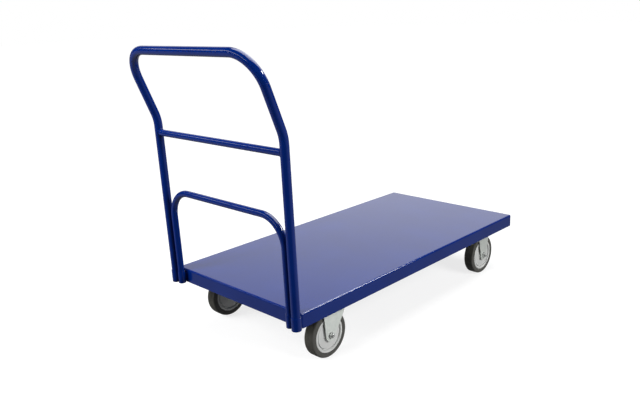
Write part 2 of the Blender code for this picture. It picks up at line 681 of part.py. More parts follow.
def swivel_head(name, side):
    """The fixed half of the swivel: plate, race and kingpin; and the ball ring under it."""
    y = side * WHEEL_Y
    plate = place(rounded_plate_mesh("swivel_plate_" + name), "swivel_plate_" + name,
                  zinc(f"swivel_plate_{name}_zinc"), (KINGPIN_X, y, PLATE_UNDERSIDE))
    drill_plate(plate, KINGPIN_X, y)
    bore = KINGPIN_DIAMETER / 2 + BOLT_CLEARANCE
    hole = cylinder_mesh(plate.name + "_bore", bore, -CUT_OVER, PLATE_THICKNESS + CUT_OVER, SMALL_FACETS)
    shape(plate, tool(hole, (KINGPIN_X, y, PLATE_UNDERSIDE)), "DIFFERENCE")
    ball_low = CROWN_TOP + GAP
    ball_high = ball_low + BALL_RING_HEIGHT
    middle = (RACE_RADIUS + bore) / 2 - BALL_SHIFT
    balls = [(middle + radius, (ball_low + ball_high) / 2 + height)
             for radius, height in reversed(arc((0, 0), BALL_RING_HEIGHT / 2, -90, 210, 5))]
    place(turned_mesh("ball_ring_" + name, balls, HEAD_FACETS), "ball_ring_" + name,
          zinc(f"ball_ring_{name}_steel"), (KINGPIN_X, y, 0))
    race_low = CROWN_TOP + RACE_RUNNING_GAP
    race_high = PLATE_UNDERSIDE - GAP
    over = ball_high + GAP
    race = [(RACE_NECK_RADIUS, race_high), (RACE_NECK_RADIUS, race_high - RACE_NECK_HEIGHT),
            (RACE_RADIUS, over + RACE_LIP), (RACE_RADIUS, race_low),
            (RACE_RADIUS - RACE_WALL, race_low), (RACE_RADIUS - RACE_WALL, over), (bore, over),
            (bore, race_high)]
    place(turned_mesh("swivel_race_" + name, race, HEAD_FACETS), "swivel_race_" + name,
          zinc(f"swivel_race_{name}_zinc"), (KINGPIN_X, y, 0))
    head_top = CROWN_UNDERSIDE - GAP
    shank = KINGPIN_DIAMETER / 2
    head = KINGPIN_HEAD_DIAMETER / 2
    head_end = head_top - KINGPIN_HEAD_HEIGHT
    kingpin = [(shank, CASTER_HEIGHT - GAP), (shank, head_top), (head, head_top),
               (head, head_top - KINGPIN_HEAD_EDGE), (KINGPIN_HEAD_FLAT / 2, head_end), (0, head_end),
               (0, CASTER_HEIGHT - GAP)]
    place(turned_mesh("kingpin_" + name, kingpin, SMALL_FACETS), "kingpin_" + name,
          zinc(f"kingpin_{name}_zinc"), (KINGPIN_X, y, 0))


def fixed_bracket(name, side):
    """Plate and two legs of the caster that doesn't swivel."""
    y = side * WHEEL_Y
    rise = PLATE_UNDERSIDE - AXLE_HEIGHT
    waist = (BRACKET_WAIST_HALF, rise - BRACKET_WAIST_DROP)
    root = (BRACKET_ROOT_HALF, rise + LEG_ROOT)
    outline = arc((0, 0), LEG_END_RADIUS, 172, 368, 10)
    outline += [waist, root, (-root[0], root[1]), (-waist[0], waist[1])]
    bracket = place(rounded_plate_mesh("fixed_bracket_" + name), "fixed_bracket_" + name,
                    zinc(f"fixed_bracket_{name}_zinc"), (FIXED_AXLE_X, y, PLATE_UNDERSIDE))
    for leg_side in (-1, 1):
        leg = outline_mesh(f"{bracket.name}_leg_{leg_side}", outline, FORK_SHEET)
        leg_y = y + leg_side * (FORK_INSIDE + FORK_SHEET) / 2
        shape(bracket, tool(leg, (FIXED_AXLE_X, leg_y, AXLE_HEIGHT)), "UNION")
    drill_plate(bracket, FIXED_AXLE_X, y)
    axle_hole(bracket, FIXED_AXLE_X, y)


def casters():
    for side, hand in ((-1, "right"), (1, "left")):
        swivel = "swivel_" + hand
        swivel_head(hand, side)
        swivel_fork(hand, side)
        wheel(swivel, SWIVEL_AXLE_X, side)
        plate_bolts(swivel, KINGPIN_X, side * WHEEL_Y)
        fixed = "fixed_" + hand
        fixed_bracket(hand, side)
        wheel(fixed, FIXED_AXLE_X, side)
        plate_bolts(fixed, FIXED_AXLE_X, side * WHEEL_Y)


deck_pan()
caster_channel("caster_channel_handle_end", KINGPIN_X)
caster_channel("caster_channel_front", FIXED_AXLE_X)
deck_ribs()
for hand_side, hand_name in ((-1, "right"), (1, "left")):
    socket("handle_socket_" + hand_name, HANDLE_TUBE, HANDLE_SOCKET_RADIUS, hand_side * HANDLE_SPAN)
    socket("hoop_socket_" + hand_name, HOOP_TUBE, HOOP_SOCKET_RADIUS, hand_side * HOOP_SPAN)
push_handle()
handle_crossbar()
lower_hoop()
casters()
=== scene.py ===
"""Steel platform cart: the finished pieces, their materials and a plain studio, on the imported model.

Metres, +Z up. +X runs along the deck away from the push handle and +Y is the left side.
"""
import math

import bmesh
import bpy
from mathutils import Matrix, Vector


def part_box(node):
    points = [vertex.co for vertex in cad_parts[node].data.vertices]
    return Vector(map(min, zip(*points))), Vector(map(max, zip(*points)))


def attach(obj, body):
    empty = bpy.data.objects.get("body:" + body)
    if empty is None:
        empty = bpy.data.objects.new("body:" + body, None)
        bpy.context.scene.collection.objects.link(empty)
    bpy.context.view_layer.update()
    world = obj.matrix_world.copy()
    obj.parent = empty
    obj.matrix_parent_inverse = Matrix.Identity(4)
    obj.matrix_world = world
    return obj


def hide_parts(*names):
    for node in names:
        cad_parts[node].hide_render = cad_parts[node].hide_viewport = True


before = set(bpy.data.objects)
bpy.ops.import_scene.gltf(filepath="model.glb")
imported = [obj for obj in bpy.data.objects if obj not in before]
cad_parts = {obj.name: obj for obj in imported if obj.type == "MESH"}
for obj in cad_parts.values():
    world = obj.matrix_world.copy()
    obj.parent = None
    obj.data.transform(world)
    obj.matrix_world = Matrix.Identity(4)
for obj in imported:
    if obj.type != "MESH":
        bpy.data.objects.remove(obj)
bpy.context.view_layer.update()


# ------------------------------------------------------------------ deck pan
# The deck is one 2.5 mm steel sheet folded down on all four sides, with its
# corners welded and dressed round. Every blue piece is powder coated once welded.
deck_low, deck_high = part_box("deck_pan")
DECK_SHEET = 0.0025
DECK_BEND = 0.006
DECK_BEND_STEPS = 10
DECK_LIP = 0.0006
DECK_LIP_STEPS = 2
DECK_SHARP = 60
DECK_BLUE = (0.0002, 0.0124, 0.120)
DECK_BLUE_THIN = (0.0005, 0.0152, 0.138)
PAINT_ROUGHNESS = (0.085, 0.12)
PAINT_IOR = 1.5
SHEET_WAVE = 0.0002
ORANGE_PEEL = 0.000006
NOISE_NARROW = (0.35, 0.65)
NOISE_WIDE = (0.3, 0.7)


def add_node(tree, kind, **inputs):
    """A new node, with some of its inputs set by name."""
    node = tree.nodes.new(kind)
    for name, value in inputs.items():
        node.inputs[name.replace("_", " ")].default_value = value
    return node


def ranged(tree, source, low, high, to_low, to_high):
    """Carry a texture's value from one range to another."""
    node = add_node(tree, "ShaderNodeMapRange", From_Min=low, From_Max=high, To_Min=to_low,
                    To_Max=to_high)
    tree.links.new(source, node.inputs["Value"])
    return node.outputs["Result"]


def noise(tree, place, scale, detail=2.0, roughness=0.5):
    node = add_node(tree, "ShaderNodeTexNoise", Scale=scale, Detail=detail, Roughness=roughness)
    tree.links.new(place, node.inputs["Vector"])
    return node.outputs["Fac"]


def blended(tree, factor, first, second):
    """Two colours, each plain or worked out by nodes, mixed by a factor."""
    node = tree.nodes.new("ShaderNodeMix")
    node.data_type = "RGBA"
    tree.links.new(factor, node.inputs["Factor"])
    for side, colour in (("A", first), ("B", second)):
        if isinstance(colour, tuple):
            node.inputs[side].default_value = (*colour, 1.0)
        else:
            tree.links.new(colour, node.inputs[side])
    return node.outputs["Result"]


def bumped(tree, height, distance, under=None):
    """A bump of a real height in metres, on top of another."""
    node = add_node(tree, "ShaderNodeBump", Strength=1.0, Distance=distance)
    tree.links.new(height, node.inputs["Height"])
    if under:
        tree.links.new(under, node.inputs["Normal"])
    return node.outputs["Normal"]


def plain_material(name):
    """A new material, with its shader and the place on the piece."""
    material = bpy.data.materials.new(name)
    material.use_nodes = True
    tree = material.node_tree
    shader = tree.nodes["Principled BSDF"]
    place = tree.nodes.new("ShaderNodeTexCoord").outputs["Object"]
    return material, tree, shader, place


def powder_coat():
    """Gloss blue: a fine orange peel, a slow wave in the sheet and an uneven film."""
    material, tree, shader, place = plain_material("blue_powder_coat")
    film = ranged(tree, noise(tree, place, scale=7.0, detail=3.0), *NOISE_NARROW, 0.0, 1.0)
    tree.links.new(blended(tree, film, DECK_BLUE, DECK_BLUE_THIN), shader.inputs["Base Color"])
    gloss = ranged(tree, noise(tree, place, scale=45.0, detail=4.0), *NOISE_WIDE, *PAINT_ROUGHNESS)
    tree.links.new(gloss, shader.inputs["Roughness"])
    wave = bumped(tree, noise(tree, place, scale=5.0, detail=1.0), SHEET_WAVE)
    peel = bumped(tree, noise(tree, place, scale=620.0, detail=2.0), ORANGE_PEEL, wave)
    tree.links.new(peel, shader.inputs["Normal"])
    shader.inputs["IOR"].default_value = PAINT_IOR
    return material


BLUE = powder_coat()


def finished_mesh(thing):
    """A plain mesh of an object with its modifiers worked out; the object itself is removed."""
    bpy.context.view_layer.update()
    graph = bpy.context.evaluated_depsgraph_get()
    mesh = bpy.data.meshes.new_from_object(thing.evaluated_get(graph))
    bpy.data.objects.remove(thing, do_unlink=True)
    return mesh


def loose(name, data):
    """An object in the scene that isn't a piece yet."""
    thing = bpy.data.objects.new(name, data)
    bpy.context.scene.collection.objects.link(thing)
    return thing


def modifier(thing, kind, **settings):
    made = thing.modifiers.new(kind.lower(), kind)
    for name, value in settings.items():
        setattr(made, name, value)
    return made


def piece(name, mesh, material, body, slot, *nodes, sharp=40):
    """A finished mesh as a piece that rides on a body and stands for its CAD nodes."""
    mesh.name = name
    mesh.materials.clear()
    mesh.materials.append(material)
    for face in mesh.polygons:
        face.material_index = 0
    mesh.shade_smooth()
    mesh.set_sharp_from_angle(angle=math.radians(sharp))
    made = loose(name, mesh)
    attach(made, body)
    if nodes:
        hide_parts(*nodes)
    return made


def mesh_of(work, name):
    """Close a bmesh into a mesh."""
    mesh = bpy.data.meshes.new(name)
    work.to_mesh(mesh)
    work.free()
    return mesh


def deck_pan():
    work = bmesh.new()
    bmesh.ops.create_cube(work, size=1)
    bmesh.ops.scale(work, verts=work.verts, vec=deck_high - deck_low)
    bmesh.ops.translate(work, verts=work.verts, vec=(deck_low + deck_high) / 2)
    below = [face for face in work.faces if face.normal.z < -0.5]
    bmesh.ops.delete(work, geom=below, context="FACES_ONLY")
    pan = loose("pan", mesh_of(work, "pan"))
    modifier(pan, "BEVEL", width=DECK_BEND, segments=DECK_BEND_STEPS, limit_method="ANGLE")
    modifier(pan, "SOLIDIFY", thickness=DECK_SHEET, offset=-1, use_even_offset=True)
    modifier(pan, "BEVEL", width=DECK_LIP, segments=DECK_LIP_STEPS, limit_method="ANGLE",
             angle_limit=math.radians(DECK_SHARP))
    made = piece("deck_pan_sheet", finished_mesh(pan), BLUE, "root", "powder_coat", "deck_pan",
                 sharp=DECK_SHARP)
    modifier(made, "WEIGHTED_NORMAL", keep_sharp=True)


deck_pan()


# ------------------------------------------- channels and ribs under the deck
# Two 3 mm channels carry the caster plates and two 2 mm ribs stiffen the sheet
# between them. They are folded, and stitch welded to the deck's underside.
CHANNEL_SHEETS = {"caster_channel_handle_end": 0.003, "caster_channel_front": 0.003,
                  "deck_rib_1": 0.002, "deck_rib_2": 0.002}
STITCH_LENGTH = 0.032
STITCH_COUNT = 4
STITCH_RADIUS = 0.0021
BEAD_PITCH = 0.0019
BEAD_RIPPLE = 0.13
BEAD_SAMPLES = 4
BEAD_SIDES = 8
CHANNEL_BEND_STEPS = 6


def arc_points(centre, radius, start, end, count):
    """Points (a, b) of an arc, with angles in degrees."""
    points = []
    for i in range(count + 1):
        angle = math.radians(start + (end - start) * i / count)
        points.append((centre[0] + radius * math.cos(angle), centre[1] + radius * math.sin(angle)))
    return points


def drawn_along(section, to_point, low, high):
    """An open sheet: a section drawn along a straight way."""
    work = bmesh.new()
    rows = [[work.verts.new(to_point(a, b, along)) for a, b in section] for along in (low, high)]
    for i in range(len(section) - 1):
        work.faces.new((rows[0][i], rows[0][i + 1], rows[1][i + 1], rows[1][i]))
    return work


def folded_channel(name, sheet):
    """A channel open towards the deck: its outside is drawn, and the sheet thickens inwards."""
    low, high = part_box(name)
    middle = (low + high) / 2
    half = (high.x - low.x) / 2
    bend = 2 * sheet
    section = [(-half, high.z), *arc_points((-half + bend, low.z + bend), bend, 180, 270,
                                        CHANNEL_BEND_STEPS),
               *arc_points((half - bend, low.z + bend), bend, 270, 360, CHANNEL_BEND_STEPS),
               (half, high.z)]
    work = drawn_along(section, lambda a, b, along: (middle.x + a, along, b), low.y, high.y)
    channel = loose("channel", mesh_of(work, "channel"))
    modifier(channel, "SOLIDIFY", thickness=sheet, offset=1, use_even_offset=True)
    piece(name + "_sheet", finished_mesh(channel), BLUE, "root", "powder_coat", name)


def new_tree(name, *sizes):
    """An empty Geometry Nodes tree with named number inputs; returns it with its two ends."""
    tree = bpy.data.node_groups.new(name, "GeometryNodeTree")
    tree.interface.new_socket("Geometry", in_out="INPUT", socket_type="NodeSocketGeometry")
    for size in sizes:
        tree.interface.new_socket(size, in_out="INPUT", socket_type="NodeSocketFloat")
    tree.interface.new_socket("Material", in_out="INPUT", socket_type="NodeSocketMaterial")
    tree.interface.new_socket("Geometry", in_out="OUTPUT", socket_type="NodeSocketGeometry")
    return tree, tree.nodes.new("NodeGroupInput"), tree.nodes.new("NodeGroupOutput")


def finish_tree(tree, given, result, geometry):
    """Realize Instances and Set Material, at the end of every tree."""
    real = tree.nodes.new("GeometryNodeRealizeInstances")
    coat = tree.nodes.new("GeometryNodeSetMaterial")
    tree.links.new(geometry, real.inputs["Geometry"])
    tree.links.new(real.outputs["Geometry"], coat.inputs["Geometry"])
    tree.links.new(given.outputs["Material"], coat.inputs["Material"])
    tree.links.new(coat.outputs["Geometry"], result.inputs["Geometry"])


def worked_by(thing, tree, material, **sizes):
    """The plain mesh that a tree makes from an object, with its inputs set by identifier."""
    nodes = thing.modifiers.new(tree.name, "NODES")
    nodes.node_group = tree
    sizes["Material"] = material
    for socket in tree.interface.items_tree:
        if socket.in_out == "INPUT" and socket.name in sizes:
            nodes[socket.identifier] = sizes[socket.name]
    return finished_mesh(thing)


def calculated(tree, operation, *values):
    """One Math node; each value is a socket or a number."""
    node = tree.nodes.new("ShaderNodeMath")
    node.operation = operation
    for side, value in enumerate(values):
        if isinstance(value, (int, float)):
            node.inputs[side].default_value = value
        else:
            tree.links.new(value, node.inputs[side])
    return node.outputs[0]


def weld_bead_tree():
    """A rippled bead that follows a curve: its radius swells once for each pitch."""
    tree, given, result = new_tree("weld_bead", "Radius", "Pitch", "Ripple")
    even = tree.nodes.new("GeometryNodeResampleCurve")
    even.mode = "LENGTH"
    tree.links.new(given.outputs["Geometry"], even.inputs["Curve"])
    step = calculated(tree, "DIVIDE", given.outputs["Pitch"], BEAD_SAMPLES)
    tree.links.new(step, even.inputs["Length"])
    index = tree.nodes.new("GeometryNodeInputIndex")
    wave = calculated(tree, "SINE",
                      calculated(tree, "MULTIPLY", index.outputs[0], 2 * math.pi / BEAD_SAMPLES))
    swell = calculated(tree, "MULTIPLY_ADD", wave, given.outputs["Ripple"], 1.0)
    size = tree.nodes.new("GeometryNodeSetCurveRadius")
    tree.links.new(even.outputs["Curve"], size.inputs["Curve"])
    tree.links.new(swell, size.inputs["Radius"])
    ring = tree.nodes.new("GeometryNodeCurvePrimitiveCircle")
    ring.inputs["Resolution"].default_value = BEAD_SIDES
    tree.links.new(given.outputs["Radius"], ring.inputs["Radius"])
    sweep = tree.nodes.new("GeometryNodeCurveToMesh")
    sweep.inputs["Fill Caps"].default_value = True
    tree.links.new(size.outputs["Curve"], sweep.inputs["Curve"])
    tree.links.new(ring.outputs["Curve"], sweep.inputs["Profile Curve"])
    finish_tree(tree, given, result, sweep.outputs["Mesh"])
    return tree


WELD_BEAD = weld_bead_tree()


def paths_curve(name, paths, closed=False):
    """A curve object with one straight-sided spline for each list of points."""
    curve = bpy.data.curves.new(name, "CURVE")
    curve.dimensions = "3D"
    for path in paths:
        spline = curve.splines.new("POLY")
        spline.points.add(len(path) - 1)
        for point, at in zip(spline.points, path):
            point.co = (*at, 1)
        spline.use_cyclic_u = closed
    return loose(name, curve)


def weld_beads(name, paths, radius, body, closed=False):
    """Weld beads of one body, as one piece under the powder coat."""
    curve = paths_curve(name, paths, closed)
    mesh = worked_by(curve, WELD_BEAD, BLUE, Radius=radius, Pitch=BEAD_PITCH, Ripple=BEAD_RIPPLE)
    piece(name, mesh, BLUE, body, "powder_coat", sharp=180)


def stitch_paths():
    """Short beads along the foot of each flange, where it meets the deck."""
    paths = []
    for name in CHANNEL_SHEETS:
        low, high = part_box(name)
        for x in (low.x, high.x):
            for i in range(STITCH_COUNT):
                y = low.y + (high.y - low.y) * (i + 0.5) / STITCH_COUNT
                paths.append([(x, y - STITCH_LENGTH / 2, high.z), (x, y + STITCH_LENGTH / 2, high.z)])
    return paths


for channel_name, channel_sheet in CHANNEL_SHEETS.items():
    folded_channel(channel_name, channel_sheet)
weld_beads("deck_stitch_welds", stitch_paths(), STITCH_RADIUS, "root")


# ------------------------------------------------------------------- sockets
# Four short cups of tube with a floor and a drain hole, in two pairs, welded
# upright to the end skirt. They lean back a little with the legs they hold.
LEG_LEAN = math.radians(1.1)
SOCKET_WALL = 0.0015
SOCKET_FLOOR = 0.003
SOCKET_DRAIN = 0.004
SOCKET_EDGE = 0.0006
SOCKET_WELD = 0.0019
SOCKET_FLATS = 0.00005
WELD_STANDOFF = 0.3
CUP_WELD_SIDE = 0.62
CUP_WELD_LOW = 0.003
CUP_WELD_HIGH = 0.006
CORNER_WELD_ACROSS = 0.45
CORNER_WELD_BACK = 0.2
TURN_STEPS = 96
MERGE_DISTANCE = 0.000005
SOCKETS = {}


def rounded(points, radius, count=4):
    """A closed outline with its corners rounded, never past a third of a side."""
    result = []
    for i, point in enumerate(points):
        here = Vector(point)
        back = Vector(points[i - 1]) - here
        ahead = Vector(points[(i + 1) % len(points)]) - here
        reach = min(radius, back.length / 3, ahead.length / 3)
        start = here + back.normalized() * reach
        end = here + ahead.normalized() * reach
        for k in range(count + 1):
            t = k / count
            result.append(start * (1 - t) ** 2 + here * (2 * t * (1 - t)) + end * t ** 2)
    return [(point.x, point.y) for point in result]


def turned(profile, matrix, steps=TURN_STEPS):
    """A closed profile of (radius, height) points, turned about Z and put in its place."""
    work = bmesh.new()
    verts = [work.verts.new((radius, 0, height)) for radius, height in profile]
    edges = [work.edges.new((verts[i - 1], vert)) for i, vert in enumerate(verts)]
    bmesh.ops.spin(work, geom=verts + edges, axis=(0, 0, 1), cent=(0, 0, 0), angle=2 * math.pi,
                   steps=steps, use_merge=True)
    bmesh.ops.remove_doubles(work, verts=work.verts, dist=MERGE_DISTANCE)
    bmesh.ops.recalc_face_normals(work, faces=work.faces)
    bmesh.ops.transform(work, matrix=matrix, verts=work.verts)
    return mesh_of(work, "turned")


def socket(name):
    low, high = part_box(name)
    radius = (high.y - low.y) / 2 + SOCKET_FLATS
    bore = radius - SOCKET_WALL
    foot = Vector((high.x - radius, (low.y + high.y) / 2, deck_low.z))
    height = (high.z - deck_low.z) / math.cos(LEG_LEAN) - math.tan(LEG_LEAN) * radius
    profile = [(radius, height), (radius, 0), (SOCKET_DRAIN, 0), (SOCKET_DRAIN, SOCKET_FLOOR),
               (bore, SOCKET_FLOOR), (bore, height)]
    matrix = Matrix.Translation(foot) @ Matrix.Rotation(-LEG_LEAN, 4, "Y")
    mesh = turned(rounded(profile, SOCKET_EDGE), matrix)
    piece(name + "_cup", mesh, BLUE, "root", "powder_coat", name)
    SOCKETS[name] = (foot, radius, height)


def socket_weld_paths():
    """A fillet down each side of each cup, in the corner between the cup and the skirt."""
    paths = []
    for foot, radius, height in SOCKETS.values():
        for side in (-1, 1):
            y = foot.y + side * radius * CUP_WELD_SIDE
            x = deck_low.x - SOCKET_WELD * WELD_STANDOFF
            if abs(y) > deck_high.y - DECK_BEND:
                y = math.copysign(deck_high.y - DECK_BEND * CORNER_WELD_ACROSS, y)
                x = deck_low.x + DECK_BEND * CORNER_WELD_BACK
            paths.append([(x, y, foot.z + CUP_WELD_LOW), (x, y, foot.z + height - CUP_WELD_HIGH)])
    return paths


for side_name in ("right", "left"):
    socket("handle_socket_" + side_name)
    socket("hoop_socket_" + side_name)
weld_beads("socket_welds", socket_weld_paths(), SOCKET_WELD, "root")


# --------------------------------------------------------------- push handle
# One length of 26.7 mm tube: two legs, a kink above the crossbar where it leans
# back, and two round bends into the grip. It stands in the outer sockets.
handle_low, handle_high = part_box("push_handle_tube")
HANDLE_TUBE = 0.0267
TUBE_WALL = 0.002
UPPER_LEAN = math.radians(21.6)
UPPER_HEIGHT = 0.234
KINK_RADIUS = 0.12
TUBE_SIDES = 64
TUBE_BEND_STEPS = 24
HANDLE_CORNER = 0.095
GRIP_AXIS = handle_high.z - HANDLE_TUBE / 2
KINK_HEIGHT = handle_high.z - UPPER_HEIGHT
HANDLE_SPAN = handle_high.y - HANDLE_TUBE / 2


def tube_tree():
    """The outer skin of a round tube that follows a curve."""
    tree, given, result = new_tree("round_tube", "Radius")
    ring = tree.nodes.new("GeometryNodeCurvePrimitiveCircle")
    ring.inputs["Resolution"].default_value = TUBE_SIDES
    tree.links.new(given.outputs["Radius"], ring.inputs["Radius"])
    sweep = tree.nodes.new("GeometryNodeCurveToMesh")
    tree.links.new(given.outputs["Geometry"], sweep.inputs["Curve"])
    tree.links.new(ring.outputs["Curve"], sweep.inputs["Profile Curve"])
    finish_tree(tree, given, result, sweep.outputs["Mesh"])
    return tree


ROUND_TUBE = tube_tree()


def bent(path, radii, count=TUBE_BEND_STEPS):
    """A path with each inner corner bent to its own radius."""
    points = [path[0]]
    for before, corner, after, radius in zip(path, path[1:], path[2:], radii):
        back = (before - corner).normalized()
        ahead = (after - corner).normalized()
        turn = math.pi - back.angle(ahead)
        start = corner + back * radius * math.tan(turn / 2)
        inward = (ahead - back * back.dot(ahead)).normalized()
        centre = start + inward * radius
        for i in range(count + 1):
            angle = turn * i / count
            points.append(centre - inward * radius * math.cos(angle) - back * radius * math.sin(angle))
    return points + [path[-1]]


def tube_piece(name, path, diameter, body, node):
    skin = worked_by(paths_curve(name, [path]), ROUND_TUBE, BLUE, Radius=diameter / 2)
    work = bmesh.new()
    work.from_mesh(skin)
    bmesh.ops.remove_doubles(work, verts=work.verts, dist=MERGE_DISTANCE)
    bmesh.ops.recalc_face_normals(work, faces=work.faces)
    tube = loose("tube", mesh_of(work, "tube"))
    modifier(tube, "SOLIDIFY", thickness=TUBE_WALL, offset=-1, use_even_offset=True)
    piece(name, finished_mesh(tube), BLUE, body, "powder_coat", node, sharp=50)


def leg_point(height, y, foot):
    """The axis of a leg at a height, leaning back from its foot."""
    return Vector((foot.x - math.tan(LEG_LEAN) * (height - foot.z), y, height))


handle_foot = SOCKETS["handle_socket_right"][0]
handle_right = [leg_point(handle_low.z, -HANDLE_SPAN, handle_foot),
                leg_point(KINK_HEIGHT, -HANDLE_SPAN, handle_foot)]
handle_right.append(handle_right[1] + Vector((-math.tan(UPPER_LEAN), 0, 1)) * (GRIP_AXIS - KINK_HEIGHT))
handle_left = [Vector((point.x, -point.y, point.z)) for point in reversed(handle_right)]
tube_piece("push_handle_bent_tube",
           bent(handle_right + handle_left, (KINK_RADIUS, HANDLE_CORNER, HANDLE_CORNER, KINK_RADIUS)),
           HANDLE_TUBE, "push_handle", "push_handle_tube")


# ------------------------------------------------------------------ crossbar
# A straight 21.3 mm tube between the handle's legs, with its ends coped to the
# round of the legs and welded all the way round.
CROSSBAR_TUBE = 0.0213
CROSSBAR_WELD = 0.0021
CROSSBAR_STOP = HANDLE_TUBE / 3
COPE_GAP = 0.0004
COPE_STEPS = 48
crossbar_low, crossbar_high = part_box("handle_crossbar")
crossbar_height = (crossbar_low.z + crossbar_high.z) / 2
crossbar_axis = leg_point(crossbar_height, 0, handle_foot)
crossbar_end = Vector((0, HANDLE_SPAN - CROSSBAR_STOP, 0))
tube_piece("handle_crossbar_tube", [crossbar_axis - crossbar_end, crossbar_axis + crossbar_end],
           CROSSBAR_TUBE, "push_handle", "handle_crossbar")


def cope_path(side):
    """The line where the round bar meets the round leg."""
    points = []
    radius = CROSSBAR_TUBE / 2 + COPE_GAP
    for i in range(COPE_STEPS):
        angle = 2 * math.pi * i / COPE_STEPS
        x = radius * math.cos(angle)
        z = radius * math.sin(angle)
        y = HANDLE_SPAN - math.sqrt((HANDLE_TUBE / 2) ** 2 - x * x)
        points.append(crossbar_axis + Vector((x - math.tan(LEG_LEAN) * z, side * y, z)))
    return points


weld_beads("crossbar_welds", [cope_path(-1), cope_path(1)], CROSSBAR_WELD, "push_handle", closed=True)


# ---------------------------------------------------------------- lower hoop
# A hoop of 21.3 mm tube that stands in the inner sockets, close inside the
# handle's legs, and keeps a load from sliding off the deck.
hoop_low, hoop_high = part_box("lower_hoop_tube")
HOOP_TUBE = 0.0213
HOOP_CORNER = 0.088
hoop_span = hoop_high.y - HOOP_TUBE / 2
hoop_foot = SOCKETS["hoop_socket_right"][0]
hoop_right = [leg_point(hoop_low.z, -hoop_span, hoop_foot),
              leg_point(hoop_high.z - HOOP_TUBE / 2, -hoop_span, hoop_foot)]
hoop_left = [Vector((point.x, -point.y, point.z)) for point in reversed(hoop_right)]
tube_piece("lower_hoop_bent_tube", bent(hoop_right + hoop_left, (HOOP_CORNER, HOOP_CORNER)),
           HOOP_TUBE, "lower_hoop", "lower_hoop_tube")


# ----------------------------------------------------- caster plates and heads
# Each caster bolts up through a 4.5 mm plate with round corners. A swivel one
# has a pressed race under the plate that runs on balls round a riveted kingpin.
PLATE_CORNER = 0.010
PLATE_CORNER_STEPS = 10
PLATE_EDGE = 0.0007
RACE_EDGE = 0.0009
RACE_WALL = 0.002
RACE_STEP = 0.0045
RACE_NECK = 0.006
RACE_ROOF = 0.0058
RACE_SHOULDER = 0.003
PIN_BORE = 0.0063
KINGPIN_RADIUS = 0.006
RIVET_HEAD = 0.005
RIVET_RIM = 0.0020
RIVET_SHOULDER = 0.0036
RIVET_SHOULDER_SHARE = 0.86
RIVET_CROWN_SHARE = 0.6
RIVET_EDGE = 0.0005
POLE_RADIUS = 0.0001
BALL_COUNT = 24
ZINC = (0.60, 0.64, 0.605)
ZINC_CLOUD = (0.68, 0.71, 0.675)
ZINC_ROUGHNESS = (0.42, 0.56)
ZINC_METALLIC = 0.1
ZINC_GRAIN = 0.00002
FASTENER_ZINC = (0.80, 0.82, 0.81)
FASTENER_CLOUD = (0.90, 0.91, 0.89)
FASTENER_ROUGHNESS = (0.20, 0.32)
FASTENER_METALLIC = 0.85
FASTENER_GRAIN = 0.00001
GREASED_STEEL = (0.42, 0.41, 0.38)
BARE_STEEL = (0.55, 0.55, 0.54)
STEEL_ROUGHNESS = (0.16, 0.34)
GRINDING = 0.000008


def zinc_plating(name, painted_shade_factor):
    """Dull zinc on pressed steel: soft clouds, a faint grain and a pale green cast. A factor below 1
    darkens it all as painted shade.
    """
    material, tree, shader, place = plain_material(name)
    dark, light = (tuple(part * painted_shade_factor for part in colour) for colour in (ZINC, ZINC_CLOUD))
    cloud = noise(tree, place, scale=60.0, detail=5.0, roughness=0.6)
    cloud = ranged(tree, cloud, *NOISE_NARROW, 0.0, 1.0)
    tree.links.new(blended(tree, cloud, dark, light), shader.inputs["Base Color"])
    dull = ranged(tree, noise(tree, place, scale=160.0, detail=4.0), *NOISE_WIDE, *ZINC_ROUGHNESS)
    tree.links.new(dull, shader.inputs["Roughness"])
    grain = bumped(tree, noise(tree, place, scale=900.0, detail=3.0), ZINC_GRAIN)
    tree.links.new(grain, shader.inputs["Normal"])
    shader.inputs["Metallic"].default_value = ZINC_METALLIC
    return material


def fastener_zinc():
    """Bright zinc on turned and forged steel."""
    material, tree, shader, place = plain_material("bright_zinc_fasteners")
    cloud = ranged(tree, noise(tree, place, scale=240.0, detail=4.0), *NOISE_NARROW, 0.0, 1.0)
    tree.links.new(blended(tree, cloud, FASTENER_ZINC, FASTENER_CLOUD), shader.inputs["Base Color"])
    dull = ranged(tree, noise(tree, place, scale=400.0, detail=3.0), *NOISE_WIDE, *FASTENER_ROUGHNESS)
    tree.links.new(dull, shader.inputs["Roughness"])
    grain = bumped(tree, noise(tree, place, scale=1500.0, detail=2.0), FASTENER_GRAIN)
    tree.links.new(grain, shader.inputs["Normal"])
    shader.inputs["Metallic"].default_value = FASTENER_METALLIC
    return material


def bearing_steel():
    """Ground steel under a film of grease, with its grinding marks."""
    material, tree, shader, place = plain_material("greased_bearing_steel")
    film = ranged(tree, noise(tree, place, scale=90.0, detail=4.0), *NOISE_WIDE, 0.0, 1.0)
    tree.links.new(blended(tree, film, GREASED_STEEL, BARE_STEEL), shader.inputs["Base Color"])
    tree.links.new(ranged(tree, film, 0.0, 1.0, *STEEL_ROUGHNESS), shader.inputs["Roughness"])
    marks = bumped(tree, noise(tree, place, scale=1200.0, detail=2.0), GRINDING)
    tree.links.new(marks, shader.inputs["Normal"])
    shader.inputs["Metallic"].default_value = 1.0
    return material


DULL_ZINC = zinc_plating("zinc_plated_steel", 1.0)
BRIGHT_ZINC = fastener_zinc()
BEARING_STEEL = bearing_steel()


def prism(outline, to_point, low, high):
    """A flat outline made solid between two depths."""
    work = bmesh.new()
    rows = [[work.verts.new(to_point(a, b, depth)) for a, b in outline] for depth in (low, high)]
    count = len(outline)
    for i in range(count):
        work.faces.new((rows[0][i], rows[0][(i + 1) % count], rows[1][(i + 1) % count], rows[1][i]))
    work.faces.new(rows[0])
    work.faces.new(rows[1])
    bmesh.ops.recalc_face_normals(work, faces=work.faces)
    return mesh_of(work, "prism")


